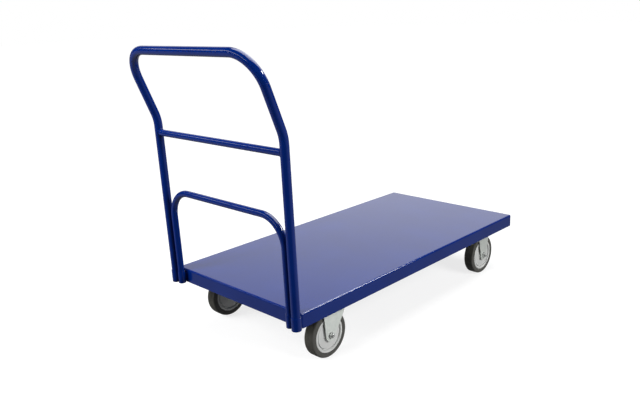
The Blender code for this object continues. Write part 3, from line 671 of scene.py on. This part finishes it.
def plate_mesh(low, high):
    """A flat plate with round corners, between two corners of its box."""
    x, y = high.x - PLATE_CORNER, high.y - PLATE_CORNER
    x0, y0 = low.x + PLATE_CORNER, low.y + PLATE_CORNER
    outline = []
    for quarter, centre in enumerate(((x, y), (x0, y), (x0, y0), (x, y0))):
        outline += arc_points(centre, PLATE_CORNER, 90 * quarter, 90 * quarter + 90, PLATE_CORNER_STEPS)
    return prism(outline, lambda a, b, depth: (a, b, depth), low.z, high.z)


def eased(mesh, width, angle=50, steps=3):
    """A mesh with its hard edges taken off."""
    thing = loose("eased", mesh)
    modifier(thing, "BEVEL", width=width, segments=steps, limit_method="ANGLE",
             angle_limit=math.radians(angle), use_clamp_overlap=True)
    return finished_mesh(thing)


def ball_tree():
    """Small balls on the points of a circle."""
    tree, given, result = new_tree("ball_ring", "Radius")
    ball = tree.nodes.new("GeometryNodeMeshIcoSphere")
    ball.inputs["Subdivisions"].default_value = 2
    tree.links.new(given.outputs["Radius"], ball.inputs["Radius"])
    copies = tree.nodes.new("GeometryNodeInstanceOnPoints")
    tree.links.new(given.outputs["Geometry"], copies.inputs["Points"])
    tree.links.new(ball.outputs["Mesh"], copies.inputs["Instance"])
    finish_tree(tree, given, result, copies.outputs["Instances"])
    return tree


BALL_RING = ball_tree()


def points_mesh(places):
    work = bmesh.new()
    for place in places:
        work.verts.new(place)
    return mesh_of(work, "points")


def swivel_head(hand):
    low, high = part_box("swivel_plate_" + hand)
    piece(f"swivel_plate_{hand}_steel", eased(plate_mesh(low, high), PLATE_EDGE), DULL_ZINC, "root",
          "zinc_plating", "swivel_plate_" + hand)
    low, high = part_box("swivel_race_" + hand)
    middle = (low + high) / 2
    at = Matrix.Translation((middle.x, middle.y, 0))
    outer = (high.x - low.x) / 2
    inner = outer - RACE_WALL
    neck = outer - RACE_STEP
    roof = low.z + RACE_ROOF
    profile = [(neck, high.z), (neck, high.z - RACE_NECK), (outer, roof + RACE_SHOULDER), (outer, low.z),
               (inner, low.z), (inner, roof), (PIN_BORE, roof), (PIN_BORE, high.z)]
    piece(f"swivel_race_{hand}_pressing", turned(rounded(profile, RACE_EDGE), at), DULL_ZINC, "root",
          "zinc_plating", "swivel_race_" + hand)
    ring_low, ring_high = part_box("ball_ring_" + hand)
    ball = (ring_high.z - ring_low.z) / 2
    circle = (ring_high.x - ring_low.x) / 2 - ball
    places = [(middle.x + circle * math.cos(2 * math.pi * i / BALL_COUNT),
               middle.y + circle * math.sin(2 * math.pi * i / BALL_COUNT), ring_low.z + ball)
              for i in range(BALL_COUNT)]
    balls = worked_by(loose("balls", points_mesh(places)), BALL_RING, BEARING_STEEL, Radius=ball)
    piece(f"ball_ring_{hand}_balls", balls, BEARING_STEEL, "swivel_fork_" + hand, "bearing_steel",
          "ball_ring_" + hand, sharp=180)
    low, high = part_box("kingpin_" + hand)
    head = (high.x - low.x) / 2
    under = low.z + RIVET_HEAD
    profile = [(KINGPIN_RADIUS, high.z), (KINGPIN_RADIUS, under), (head, under),
               (head, under - RIVET_RIM), (head * RIVET_SHOULDER_SHARE, under - RIVET_SHOULDER),
               (head * RIVET_CROWN_SHARE, low.z), (POLE_RADIUS, low.z), (POLE_RADIUS, high.z)]
    piece(f"kingpin_{hand}_rivet", turned(rounded(profile, RIVET_EDGE), at), DULL_ZINC, "root",
          "zinc_plating", "kingpin_" + hand)


for side_name in ("right", "left"):
    swivel_head(side_name)


# --------------------------------------------------------------- swivel forks
# A crown and two legs pressed from one 3 mm sheet. The legs trail behind the
# kingpin, so that the wheel follows, and end round about the axle.
FORK_SHEET = 0.003
FORK_BEND = 0.006
FORK_EDGE = 0.0005
FORK_BEND_STEPS = 8
FORK_HALF = 0.025
FORK_AHEAD = 0.031
FORK_FRONT_EDGE = ((-0.005, -0.0263), (0.0, -0.017), (0.0, 0.004))
FORK_BACK_EDGE = ((-0.029, 0.004), (-0.028, -0.0187))
BLANK_DROP = 0.03
BLANK_AHEAD = 0.01
CUT_REACH = 0.05
LEG_END_RADIUS = 0.020
CROWN_RADIUS = 0.033
CROWN_SINK = 0.0001
CROWN_DEPTH = 0.0006
CROWN_STEPS = 72


def pressed_u(half, low, high, front, back, y):
    """The folded sheet before its sides are cut: leg, bend, crown, bend, leg."""
    section = [(-half, low), *arc_points((-half + FORK_BEND, high - FORK_BEND), FORK_BEND, 180, 90,
                                        FORK_BEND_STEPS),
               *arc_points((half - FORK_BEND, high - FORK_BEND), FORK_BEND, 90, 0, FORK_BEND_STEPS),
               (half, low)]
    work = drawn_along(section, lambda a, b, along: (along, y + a, b), back, front)
    bmesh.ops.recalc_face_normals(work, faces=work.faces)
    crown = max(work.faces, key=lambda face: face.calc_center_median().z)
    if crown.normal.z < 0:
        bmesh.ops.reverse_faces(work, faces=work.faces)
    sheet = loose("sheet", mesh_of(work, "sheet"))
    modifier(sheet, "SOLIDIFY", thickness=FORK_SHEET, offset=-1, use_even_offset=True)
    return finished_mesh(sheet)


def joined(mesh, other, operation):
    """One solid from two, by an exact Boolean."""
    base, tool = loose("base", mesh), loose("tool", other)
    modifier(base, "BOOLEAN", operation=operation, solver="EXACT", object=tool)
    result = finished_mesh(base)
    bpy.data.objects.remove(tool, do_unlink=True)
    return result


def fork(hand):
    low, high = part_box("fork_" + hand)
    tyre_low, tyre_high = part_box("tyre_swivel_" + hand)
    plate_low, plate_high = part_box("swivel_plate_" + hand)
    axle = (tyre_low + tyre_high) / 2
    kingpin = (plate_low + plate_high) / 2
    rise = high.z - axle.z
    front = kingpin.x - axle.x + FORK_AHEAD
    side_outline = arc_points((0, 0), LEG_END_RADIUS, 176, 326, 28)
    side_outline += [(front + x, rise + z) for x, z in FORK_FRONT_EDGE]
    side_outline += [(x, rise + z) for x, z in FORK_BACK_EDGE]
    cut = prism(side_outline, lambda a, b, depth: (axle.x + a, depth, axle.z + b),
                axle.y - CUT_REACH, axle.y + CUT_REACH)
    blank = pressed_u(FORK_HALF, axle.z - BLANK_DROP, high.z, axle.x + front + BLANK_AHEAD,
                      axle.x - CUT_REACH, axle.y)
    mesh = joined(blank, cut, "INTERSECT")
    top, bottom = high.z - CROWN_SINK, high.z - FORK_SHEET - CROWN_DEPTH
    seat = [(CROWN_RADIUS, top), (CROWN_RADIUS, bottom), (PIN_BORE, bottom), (PIN_BORE, top)]
    at = Matrix.Translation((kingpin.x, kingpin.y, 0))
    mesh = joined(mesh, turned(seat, at, CROWN_STEPS), "UNION")
    piece(f"fork_{hand}_pressing", eased(mesh, FORK_EDGE), DULL_ZINC, "swivel_fork_" + hand,
          "zinc_plating", "fork_" + hand)


for side_name in ("right", "left"):
    fork(side_name)


# ------------------------------------------------------------- fixed brackets
# The front casters don't swivel: two legs stand straight down from the plate,
# welded to it along their roots.
BRACKET_LEG_Y = 0.0235
BRACKET_PLATE = 0.0045
BRACKET_LEG = ((0.034, -0.042), (0.038, 0.001), (-0.038, 0.001), (-0.034, -0.042))
BRACKET_WELD = 0.0016
BRACKET_WELD_HALF = 0.035
# The front brackets and their welds take a copy of the zinc darkened to 0.78 of its brightness: painted
# shade.
BRACKET_PAINTED_SHADE = 0.78
SHADED_BRACKET_ZINC = zinc_plating("zinc_bracket_painted_shade", BRACKET_PAINTED_SHADE)


def fixed_bracket(hand):
    low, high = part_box("fixed_bracket_" + hand)
    tyre_low, tyre_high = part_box("tyre_fixed_" + hand)
    axle = (tyre_low + tyre_high) / 2
    under = high.z - BRACKET_PLATE
    rise = under - axle.z
    outline = arc_points((0, 0), LEG_END_RADIUS, 172, 368, 36)
    outline += [(x, rise + z) for x, z in BRACKET_LEG]
    mesh = plate_mesh(Vector((low.x, low.y, under)), high)
    paths = []
    for leg_side in (-1, 1):
        y = axle.y + leg_side * BRACKET_LEG_Y
        leg = prism(outline, lambda a, b, depth: (axle.x + a, depth, axle.z + b),
                    y - FORK_SHEET / 2, y + FORK_SHEET / 2)
        mesh = joined(mesh, leg, "UNION")
        outer = y + leg_side * (FORK_SHEET / 2 + BRACKET_WELD * WELD_STANDOFF)
        paths.append([(axle.x + x, outer, under) for x in (-BRACKET_WELD_HALF, BRACKET_WELD_HALF)])
    piece(f"fixed_bracket_{hand}_steel", eased(mesh, FORK_EDGE), SHADED_BRACKET_ZINC, "root", "zinc_plating",
          "fixed_bracket_" + hand)
    curve = paths_curve(f"fixed_bracket_{hand}_welds", paths)
    beads = worked_by(curve, WELD_BEAD, SHADED_BRACKET_ZINC, Radius=BRACKET_WELD, Pitch=BEAD_PITCH,
                      Ripple=BEAD_RIPPLE)
    piece(f"fixed_bracket_{hand}_welds", beads, SHADED_BRACKET_ZINC, "root", "zinc_plating", sharp=180)


for side_name in ("right", "left"):
    fixed_bracket(side_name)


# -------------------------------------------------------------- wheel centres
# Moulded grey plastic with a raised ring at the rim, a shallow dish and a boss
# that turns on the steel sleeve.
RIM_DIAMETER = 0.1174
HUB_HALF = 0.0185
HUB_STEP = 0.0035
HUB_RING = ((0.0072, 0.0), (0.0078, 0.0075), (0.0110, 0.0075), (0.0120, 0.0026))
BOSS_SLOPE = ((0.0225, -0.0028), (0.0180, 0.0010))
BOSS_RADIUS = 0.0165
BOSS_HALF = 0.020
SLEEVE_BORE = 0.0078
TYRE_SEAT = 0.005
TYRE_SEAT_DROP = 0.0045
HUB_EDGE = 0.0008
HUB_PLASTIC = (0.55, 0.56, 0.55)
HUB_PLASTIC_FLOW = (0.62, 0.625, 0.61)
HUB_ROUGHNESS = (0.38, 0.5)
HUB_TEXTURE = 0.000015


def hub_plastic():
    """Moulded polyolefin: a faint satin texture and a slow flow in the colour."""
    material, tree, shader, place = plain_material("grey_wheel_plastic")
    flow = noise(tree, place, scale=30.0, detail=4.0, roughness=0.55)
    flow = ranged(tree, flow, *NOISE_WIDE, 0.0, 1.0)
    tree.links.new(blended(tree, flow, HUB_PLASTIC, HUB_PLASTIC_FLOW), shader.inputs["Base Color"])
    satin = ranged(tree, noise(tree, place, scale=120.0, detail=3.0), *NOISE_WIDE, *HUB_ROUGHNESS)
    tree.links.new(satin, shader.inputs["Roughness"])
    texture = bumped(tree, noise(tree, place, scale=1400.0, detail=2.0), HUB_TEXTURE)
    tree.links.new(texture, shader.inputs["Normal"])
    return material


HUB_GREY = hub_plastic()


def on_axle(node, side):
    """The place of a wheel's piece that was made about Z, from the middle of its tyre."""
    low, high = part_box(node)
    return Matrix.Translation((low + high) / 2) @ Matrix.Rotation(-side * math.pi / 2, 4, "X")


def hub(name, side):
    rim = RIM_DIAMETER / 2
    face = [(rim, HUB_HALF - HUB_STEP), (rim, HUB_HALF)]
    face += [(rim - inward, HUB_HALF - depth) for inward, depth in HUB_RING]
    face += [(radius, HUB_HALF + height) for radius, height in BOSS_SLOPE]
    face += [(BOSS_RADIUS, BOSS_HALF), (SLEEVE_BORE, BOSS_HALF)]
    outline = [*reversed(face), (rim - TYRE_SEAT, HUB_HALF - TYRE_SEAT_DROP)]
    profile = outline + [(radius, -height) for radius, height in reversed(outline)]
    piece(f"hub_{name}_moulding", turned(rounded(profile, HUB_EDGE), on_axle("tyre_" + name, side)),
          HUB_GREY, "wheel_" + name, "wheel_centre_plastic", "hub_" + name)


# --------------------------------------------------------------------- tyres
# Solid rubber moulded on the rim, flat across the tread with round shoulders.
# A fine line is left round the tread where the mould's halves met.
TYRE_SHOULDER = 0.0055
TYRE_SHOULDER_ARC = 84
TYRE_SHOULDER_STEPS = 9
TYRE_STEPS = 144
TYRE_GAP = 0.0003
TYRE_PROUD = 0.0005
SEAT_SLOPE = 0.001
MOULD_LINE = 0.0003
MOULD_LINE_TOP = 0.0007
MOULD_LINE_FOOT = 0.0009
LIP_OUTER = 0.0022
LIP_INNER = 0.0014
LIP_STEP = 0.0004
WALL_STARTS = 0.0041
WALL_WHOLE = 0.0011
TREAD_RUBBER = ((0.046, 0.045, 0.039), (0.066, 0.065, 0.057))
WALL_RUBBER = ((0.066, 0.065, 0.059), (0.086, 0.085, 0.078))
BLOOM_RANGE = (0.32, 0.68)
RUBBER_ROUGHNESS = (0.62, 0.8)
RUBBER_GRAIN = 0.00005


def across_tyre(tree, place):
    """0 on a tyre's tread and 1 on its sides, by how far out a point is from the tyre's middle."""
    low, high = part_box("tyre_fixed_right")
    half = (high.y - low.y) / 2
    split = tree.nodes.new("ShaderNodeSeparateXYZ")
    tree.links.new(place, split.inputs["Vector"])
    outward = calculated(tree, "ABSOLUTE", split.outputs["Y"])
    off_middle = calculated(tree, "SUBTRACT", outward, abs(low.y + high.y) / 2)
    from_middle = calculated(tree, "ABSOLUTE", off_middle)
    return ranged(tree, from_middle, half - WALL_STARTS, half - WALL_WHOLE, 0.0, 1.0)


def tyre_rubber():
    """Solid rubber: a tread darker than the sides, a mottled bloom and a fine grain."""
    material, tree, shader, place = plain_material("dark_grey_rubber")
    bloom = noise(tree, place, scale=38.0, detail=6.0, roughness=0.65)
    bloom = ranged(tree, bloom, *BLOOM_RANGE, 0.0, 1.0)
    tread, wall = (blended(tree, bloom, *pair) for pair in (TREAD_RUBBER, WALL_RUBBER))
    tree.links.new(blended(tree, across_tyre(tree, place), tread, wall), shader.inputs["Base Color"])
    scuffs = ranged(tree, noise(tree, place, scale=200.0, detail=4.0), *NOISE_WIDE, *RUBBER_ROUGHNESS)
    tree.links.new(scuffs, shader.inputs["Roughness"])
    grain = bumped(tree, noise(tree, place, scale=1100.0, detail=3.0), RUBBER_GRAIN)
    tree.links.new(grain, shader.inputs["Normal"])
    return material


RUBBER = tyre_rubber()


def tyre(name, side):
    low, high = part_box("tyre_" + name)
    half, tread = (high.y - low.y) / 2, (high.z - low.z) / 2
    bore = RIM_DIAMETER / 2 + TYRE_GAP
    seat = bore - TYRE_SEAT
    flange = half - TYRE_PROUD - HUB_STEP - TYRE_GAP
    outer = [(tread, MOULD_LINE_TOP), (tread - MOULD_LINE, MOULD_LINE_FOOT)]
    outer += [(tread - TYRE_SHOULDER + x, half - TYRE_SHOULDER + z)
              for x, z in arc_points((0, 0), TYRE_SHOULDER - MOULD_LINE, 0, TYRE_SHOULDER_ARC,
                                   TYRE_SHOULDER_STEPS)]
    outer += [(bore + LIP_OUTER, half), (bore + LIP_INNER, half - LIP_STEP), (bore, half - LIP_STEP),
              (bore, flange), (seat, flange - SEAT_SLOPE)]
    profile = outer[::-1] + [(radius, -height) for radius, height in outer]
    piece(f"tyre_{name}_rubber", turned(profile, on_axle("tyre_" + name, side), TYRE_STEPS), RUBBER,
          "wheel_" + name, "tyre_rubber", "tyre_" + name, sharp=50)


WHEELS = {"swivel_right": -1, "swivel_left": 1, "fixed_right": -1, "fixed_left": 1}
for wheel_name, wheel_side in WHEELS.items():
    hub(wheel_name, wheel_side)
    tyre(wheel_name, wheel_side)


# -------------------------------------------------------- axle bolts and nuts
# An M10 bolt runs through each pair of legs from the inside of the cart, with a
# locking nut on the outside: a flange, a hexagon, a round collar, the bolt's end.
AXLE_HEX = 0.017
AXLE_FLANGE = 0.0225
AXLE_RADIUS = 0.005
NUT_HEX_HEIGHT = 0.0066
NUT_HEIGHT = 0.0095
AXLE_SEAT = 0.0253
BOLT_HEAD = 0.0064
BOLT_FACE = 0.0008
BOLT_WASHER = 0.0006
HEX_CHAMFER = 0.97
NUT_COLLAR_SHARE = 0.86
NUT_COLLAR_ROUND = 0.0012
NUT_BORE_GAP = 0.0003
FLANGE_EDGE = 0.0009
FLANGE_TOP = 0.0014
FLANGE_SLOPE = 0.0006
HEX_FOOT = 0.0016
THREAD_PITCH = 0.0013
THREAD_END = 0.0025
HEX_STEPS = 72


def hexagon(across, angle):
    """How far a hexagon's side is from its middle in a direction."""
    return across / 2 / math.cos((angle + math.pi / 6) % (math.pi / 3) - math.pi / 6)


def hex_ring(across, height, bottom):
    """A ring of a hexagon whose corners are chamfered at 30 degrees towards one end."""
    chamfer = across / 2 * HEX_CHAMFER

    def at(angle):
        radius = hexagon(across, angle)
        drop = max(0.0, radius - chamfer) * math.tan(math.radians(30))
        return radius, height + drop if bottom else height - drop
    return at


def plain_ring(radius, height):
    return lambda angle: (radius, height)


def ringed(rings, steps=HEX_STEPS):
    """A closed solid through a stack of rings, from the bottom to the top."""
    work = bmesh.new()
    rows = []
    for ring in rings:
        row = []
        for i in range(steps):
            angle = 2 * math.pi * i / steps
            radius, height = ring(angle)
            row.append(work.verts.new((radius * math.cos(angle), radius * math.sin(angle), height)))
        rows.append(row)
    for lower, upper in zip(rows, rows[1:]):
        for i in range(steps):
            k = (i + 1) % steps
            work.faces.new((lower[i], lower[k], upper[k], upper[i]))
    work.faces.new(rows[0])
    work.faces.new(rows[-1])
    bmesh.ops.recalc_face_normals(work, faces=work.faces)
    return work


def threaded(radius, low, high, pitch):
    """Rings of a screw thread's ridges, with a chamfered end."""
    rings = []
    turns = max(1, round((high - low) / pitch))
    step = (high - low) / turns
    root = radius - pitch * 0.5
    for i in range(turns):
        base = low + (high - low) * i / turns
        rings += [plain_ring(root, base + step * 0.1), plain_ring(radius, base + step * 0.5),
                  plain_ring(root, base + step * 0.9)]
    rings += [plain_ring(radius - pitch * 0.7, high)]
    return rings


def axle_set(name, side, body):
    at = on_axle("tyre_" + name, side)
    seat = AXLE_SEAT
    chamfer = AXLE_HEX / 2 * HEX_CHAMFER
    face = -seat - BOLT_HEAD
    bolt_rings = [plain_ring(chamfer - BOLT_FACE, face), plain_ring(chamfer, face),
                  hex_ring(AXLE_HEX, face, True), hex_ring(AXLE_HEX, -seat - BOLT_WASHER, False),
                  plain_ring(chamfer, -seat), plain_ring(AXLE_RADIUS, -seat),
                  plain_ring(AXLE_RADIUS, seat + NUT_HEIGHT - NUT_COLLAR_ROUND)]
    bolt_rings += threaded(AXLE_RADIUS, seat + NUT_HEIGHT - 0.001, seat + NUT_HEIGHT + THREAD_END,
                           THREAD_PITCH)
    work = ringed(bolt_rings)
    bmesh.ops.transform(work, matrix=at, verts=work.verts)
    piece(f"axle_bolt_{name}_forging", mesh_of(work, "bolt"), BRIGHT_ZINC, body, "bright_zinc",
          "axle_bolt_" + name, sharp=28)
    collar = AXLE_HEX / 2 * NUT_COLLAR_SHARE
    flange = AXLE_FLANGE / 2
    nut_rings = [plain_ring(AXLE_RADIUS + NUT_BORE_GAP, seat), plain_ring(flange, seat),
                 plain_ring(flange, seat + FLANGE_EDGE),
                 plain_ring(flange - FLANGE_SLOPE, seat + FLANGE_TOP),
                 hex_ring(AXLE_HEX, seat + HEX_FOOT, False),
                 hex_ring(AXLE_HEX, seat + NUT_HEX_HEIGHT, False),
                 plain_ring(collar, seat + NUT_HEX_HEIGHT + 0.0001)]
    nut_rings += [plain_ring(collar - NUT_COLLAR_ROUND + radius,
                             seat + NUT_HEIGHT - NUT_COLLAR_ROUND + height)
                  for radius, height in arc_points((0, 0), NUT_COLLAR_ROUND, 0, 90, 5)]
    nut_rings += [plain_ring(AXLE_RADIUS + 0.0006, seat + NUT_HEIGHT - 0.0002),
                  plain_ring(AXLE_RADIUS + NUT_BORE_GAP, seat + NUT_HEIGHT - 0.0010)]
    work = ringed(nut_rings)
    bmesh.ops.transform(work, matrix=at, verts=work.verts)
    piece(f"axle_nut_{name}_locknut", mesh_of(work, "nut"), BRIGHT_ZINC, body, "bright_zinc",
          "axle_nut_" + name, sharp=28)


for wheel_name, wheel_side in WHEELS.items():
    rides = "root" if wheel_name.startswith("fixed") else "swivel_fork_" + wheel_name[7:]
    axle_set(wheel_name, wheel_side, rides)


# --------------------------------------------------------------- plate bolts
# Four M8 bolts hold each caster's plate up to its channel, with their flanged
# heads below.
PLATE_BOLT_HEX = 0.013
PLATE_BOLT_HEAD = 0.0053
PLATE_BOLT_CHAMFER = 0.96
PLATE_BOLT_FACE = 0.8
PLATE_BOLT_FLANGE = 0.0008
PLATE_BOLT_RADIUS = 0.004
PLATE_BOLT_SHANK = 0.0125
PLATE_BOLT_STEPS = 36


def bolt_tree(head):
    """Copies of one bolt's head on the points it is given."""
    tree, given, result = new_tree("plate_bolts")
    source = tree.nodes.new("GeometryNodeObjectInfo")
    source.inputs["Object"].default_value = head
    copies = tree.nodes.new("GeometryNodeInstanceOnPoints")
    tree.links.new(given.outputs["Geometry"], copies.inputs["Points"])
    tree.links.new(source.outputs["Geometry"], copies.inputs["Instance"])
    finish_tree(tree, given, result, copies.outputs["Instances"])
    return tree


def plate_bolts():
    names = [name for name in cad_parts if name.startswith("plate_bolt_")]
    chamfer = PLATE_BOLT_HEX / 2 * PLATE_BOLT_CHAMFER
    flange = PLATE_BOLT_HEX / 2 + PLATE_BOLT_FLANGE
    rings = [plain_ring(chamfer * PLATE_BOLT_FACE, -PLATE_BOLT_HEAD), plain_ring(chamfer, -PLATE_BOLT_HEAD),
             hex_ring(PLATE_BOLT_HEX, -PLATE_BOLT_HEAD, True), hex_ring(PLATE_BOLT_HEX, -0.0012, False),
             plain_ring(flange, -0.0010), plain_ring(flange, 0), plain_ring(PLATE_BOLT_RADIUS, 0),
             plain_ring(PLATE_BOLT_RADIUS, PLATE_BOLT_SHANK)]
    work = ringed(rings, PLATE_BOLT_STEPS)
    head = loose("bolt_head", mesh_of(work, "bolt_head"))
    places = []
    for name in names:
        low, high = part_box(name)
        places.append(((low.x + high.x) / 2, (low.y + high.y) / 2, low.z + PLATE_BOLT_HEAD))
    mesh = worked_by(loose("bolts", points_mesh(places)), bolt_tree(head), BRIGHT_ZINC)
    bpy.data.objects.remove(head, do_unlink=True)
    piece("caster_plate_bolts", mesh, BRIGHT_ZINC, "root", "bright_zinc", *names, sharp=28)


plate_bolts()


# -------------------------------------------------------------- axle sleeves
# Plain steel tubes inside the wheel centres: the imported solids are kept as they
# are and take the bearing steel.
for wheel_name in WHEELS:
    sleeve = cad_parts["axle_sleeve_" + wheel_name]
    for material_slot in sleeve.material_slots:
        material_slot.material = BEARING_STEEL


# -------------------------------------------------------------------- studio
# A plain pale floor, a white surround above it, soft boxes to the left, to the
# right and overhead, and two strips that draw thin highlights.
FLOOR_HALF = 30.0
FLOOR_DROP = 0.0004
FLOOR_GREY = 0.28
FLOOR_ROUGHNESS = 0.9
FLOOR_GLOW = (0.77, 1.0)
FLOOR_GLOW_REACH = (1.2, 3.2)
BACKDROP_WAY = (0.848, 0.530, 0.0)
BACKDROP_LIGHT = 1.24
FLOOR_BOUNCE = 0.26
ROOM_LIGHT = 0.01


def studio_floor():
    work = bmesh.new()
    bmesh.ops.create_grid(work, x_segments=1, y_segments=1, size=FLOOR_HALF)
    floor = loose("studio_floor", mesh_of(work, "studio_floor"))
    floor.location.z = -FLOOR_DROP
    material, tree, shader, place = plain_material("pale_floor")
    shader.inputs["Base Color"].default_value = (FLOOR_GREY, FLOOR_GREY, FLOOR_GREY, 1.0)
    shader.inputs["Roughness"].default_value = FLOOR_ROUGHNESS
    shader.inputs["Specular IOR Level"].default_value = 0.0
    shader.inputs["Emission Color"].default_value = (1.0, 1.0, 1.0, 1.0)
    spread = tree.nodes.new("ShaderNodeVectorMath")
    spread.operation = "LENGTH"
    tree.links.new(place, spread.inputs[0])
    glow = ranged(tree, spread.outputs["Value"], *FLOOR_GLOW_REACH, *FLOOR_GLOW)
    tree.links.new(glow, shader.inputs["Emission Strength"])
    floor.data.materials.append(material)
    floor.visible_diffuse = False
    floor.visible_glossy = False


def surround():
    """The room: a white backdrop beyond the cart, dim elsewhere, and plain white behind it all."""
    world = bpy.data.worlds.new("studio_surround")
    world.use_nodes = True
    tree = world.node_tree
    direction = tree.nodes.new("ShaderNodeTexCoord").outputs["Generated"]
    split = tree.nodes.new("ShaderNodeSeparateXYZ")
    tree.links.new(direction, split.inputs["Vector"])
    facing = tree.nodes.new("ShaderNodeVectorMath")
    facing.operation = "DOT_PRODUCT"
    facing.inputs[1].default_value = BACKDROP_WAY
    tree.links.new(direction, facing.inputs[0])
    ahead = ranged(tree, facing.outputs["Value"], 0.52, 0.95, 0.03, 1.0)
    upper = ranged(tree, split.outputs["Z"], 0.72, 0.52, 0.0, 1.0)
    lower = ranged(tree, split.outputs["Z"], 0.07, 0.19, 0.0, 1.0)
    backdrop = calculated(tree, "MULTIPLY", ahead, calculated(tree, "MULTIPLY", upper, lower))
    below = ranged(tree, split.outputs["Z"], -0.10, -0.02, 1.0, 0.0)
    side = ranged(tree, facing.outputs["Value"], -0.75, -0.30, 0.03, FLOOR_BOUNCE)
    bounce = calculated(tree, "MULTIPLY", below, side)
    seen = calculated(tree, "ADD", calculated(tree, "MULTIPLY", backdrop, BACKDROP_LIGHT), bounce)
    lit = calculated(tree, "ADD", seen, ROOM_LIGHT)
    camera_ray = tree.nodes.new("ShaderNodeLightPath").outputs["Is Camera Ray"]
    plain = calculated(tree, "MAXIMUM", lit, camera_ray)
    tree.links.new(plain, tree.nodes["Background"].inputs["Strength"])
    tree.nodes["Background"].inputs["Color"].default_value = (1.0, 1.0, 1.0, 1.0)
    bpy.context.scene.world = world


def soft_box(name, at, towards, width, height, power, lights=True, shines=True):
    """One lamp; it may be left out of the reflections, or be there for them alone."""
    light = bpy.data.lights.new(name, "AREA")
    light.shape = "RECTANGLE"
    light.size, light.size_y = width, height
    light.energy = power
    lamp = loose(name, light)
    lamp.location = at
    lamp.rotation_mode = "QUATERNION"
    lamp.rotation_quaternion = (Vector(towards) - Vector(at)).to_track_quat("-Z", "Y")
    lamp.visible_camera = False
    lamp.visible_diffuse = lights
    lamp.visible_glossy = shines


studio_floor()
surround()
soft_box("left_box", (-2.6, 1.3, 1.7), (-0.3, 0.0, 0.3), 1.2, 1.4, 104, shines=False)
soft_box("left_strip", (-3.0, 1.2, 2.3), (-0.6, 0.0, 0.8), 4.6, 0.3, 20)
soft_box("right_box", (0.1, -3.1, 1.6), (0.0, 0.0, 0.2), 1.6, 1.8, 106, shines=False)
soft_box("edge_strip", (2.6, -2.2, 3.0), (0.0, 0.0, 0.2), 2.0, 0.45, 100, lights=False)
soft_box("top_box", (0.6, 0.0, 2.6), (0.2, 0.0, 0.2), 2.2, 2.6, 82)
bpy.context.scene.view_settings.view_transform = "Standard"


# -------------------------------------------------------------------- camera
# It stands off the handle end's right corner, a little above the grip.
CAMERA_AT = Vector((-1.7390, -1.5640, 1.0381))
CAMERA_YAW = 0.7736
CAMERA_PITCH = 0.2833
CAMERA_ROLL = -0.0384
CAMERA_LENS = 37.80


def camera():
    ahead = Vector((math.cos(CAMERA_YAW) * math.cos(CAMERA_PITCH),
                    math.sin(CAMERA_YAW) * math.cos(CAMERA_PITCH), -math.sin(CAMERA_PITCH)))
    level = Vector((math.sin(CAMERA_YAW), -math.cos(CAMERA_YAW), 0))
    above = level.cross(ahead)
    right = level * math.cos(CAMERA_ROLL) + above * math.sin(CAMERA_ROLL)
    up = above * math.cos(CAMERA_ROLL) - level * math.sin(CAMERA_ROLL)
    data = bpy.data.cameras.new("camera")
    data.lens = CAMERA_LENS
    data.sensor_width = 36.0
    made = loose("camera", data)
    turn = Matrix((right, up, -ahead)).transposed().to_4x4()
    made.matrix_world = Matrix.Translation(CAMERA_AT) @ turn
    bpy.context.scene.camera = made


camera()
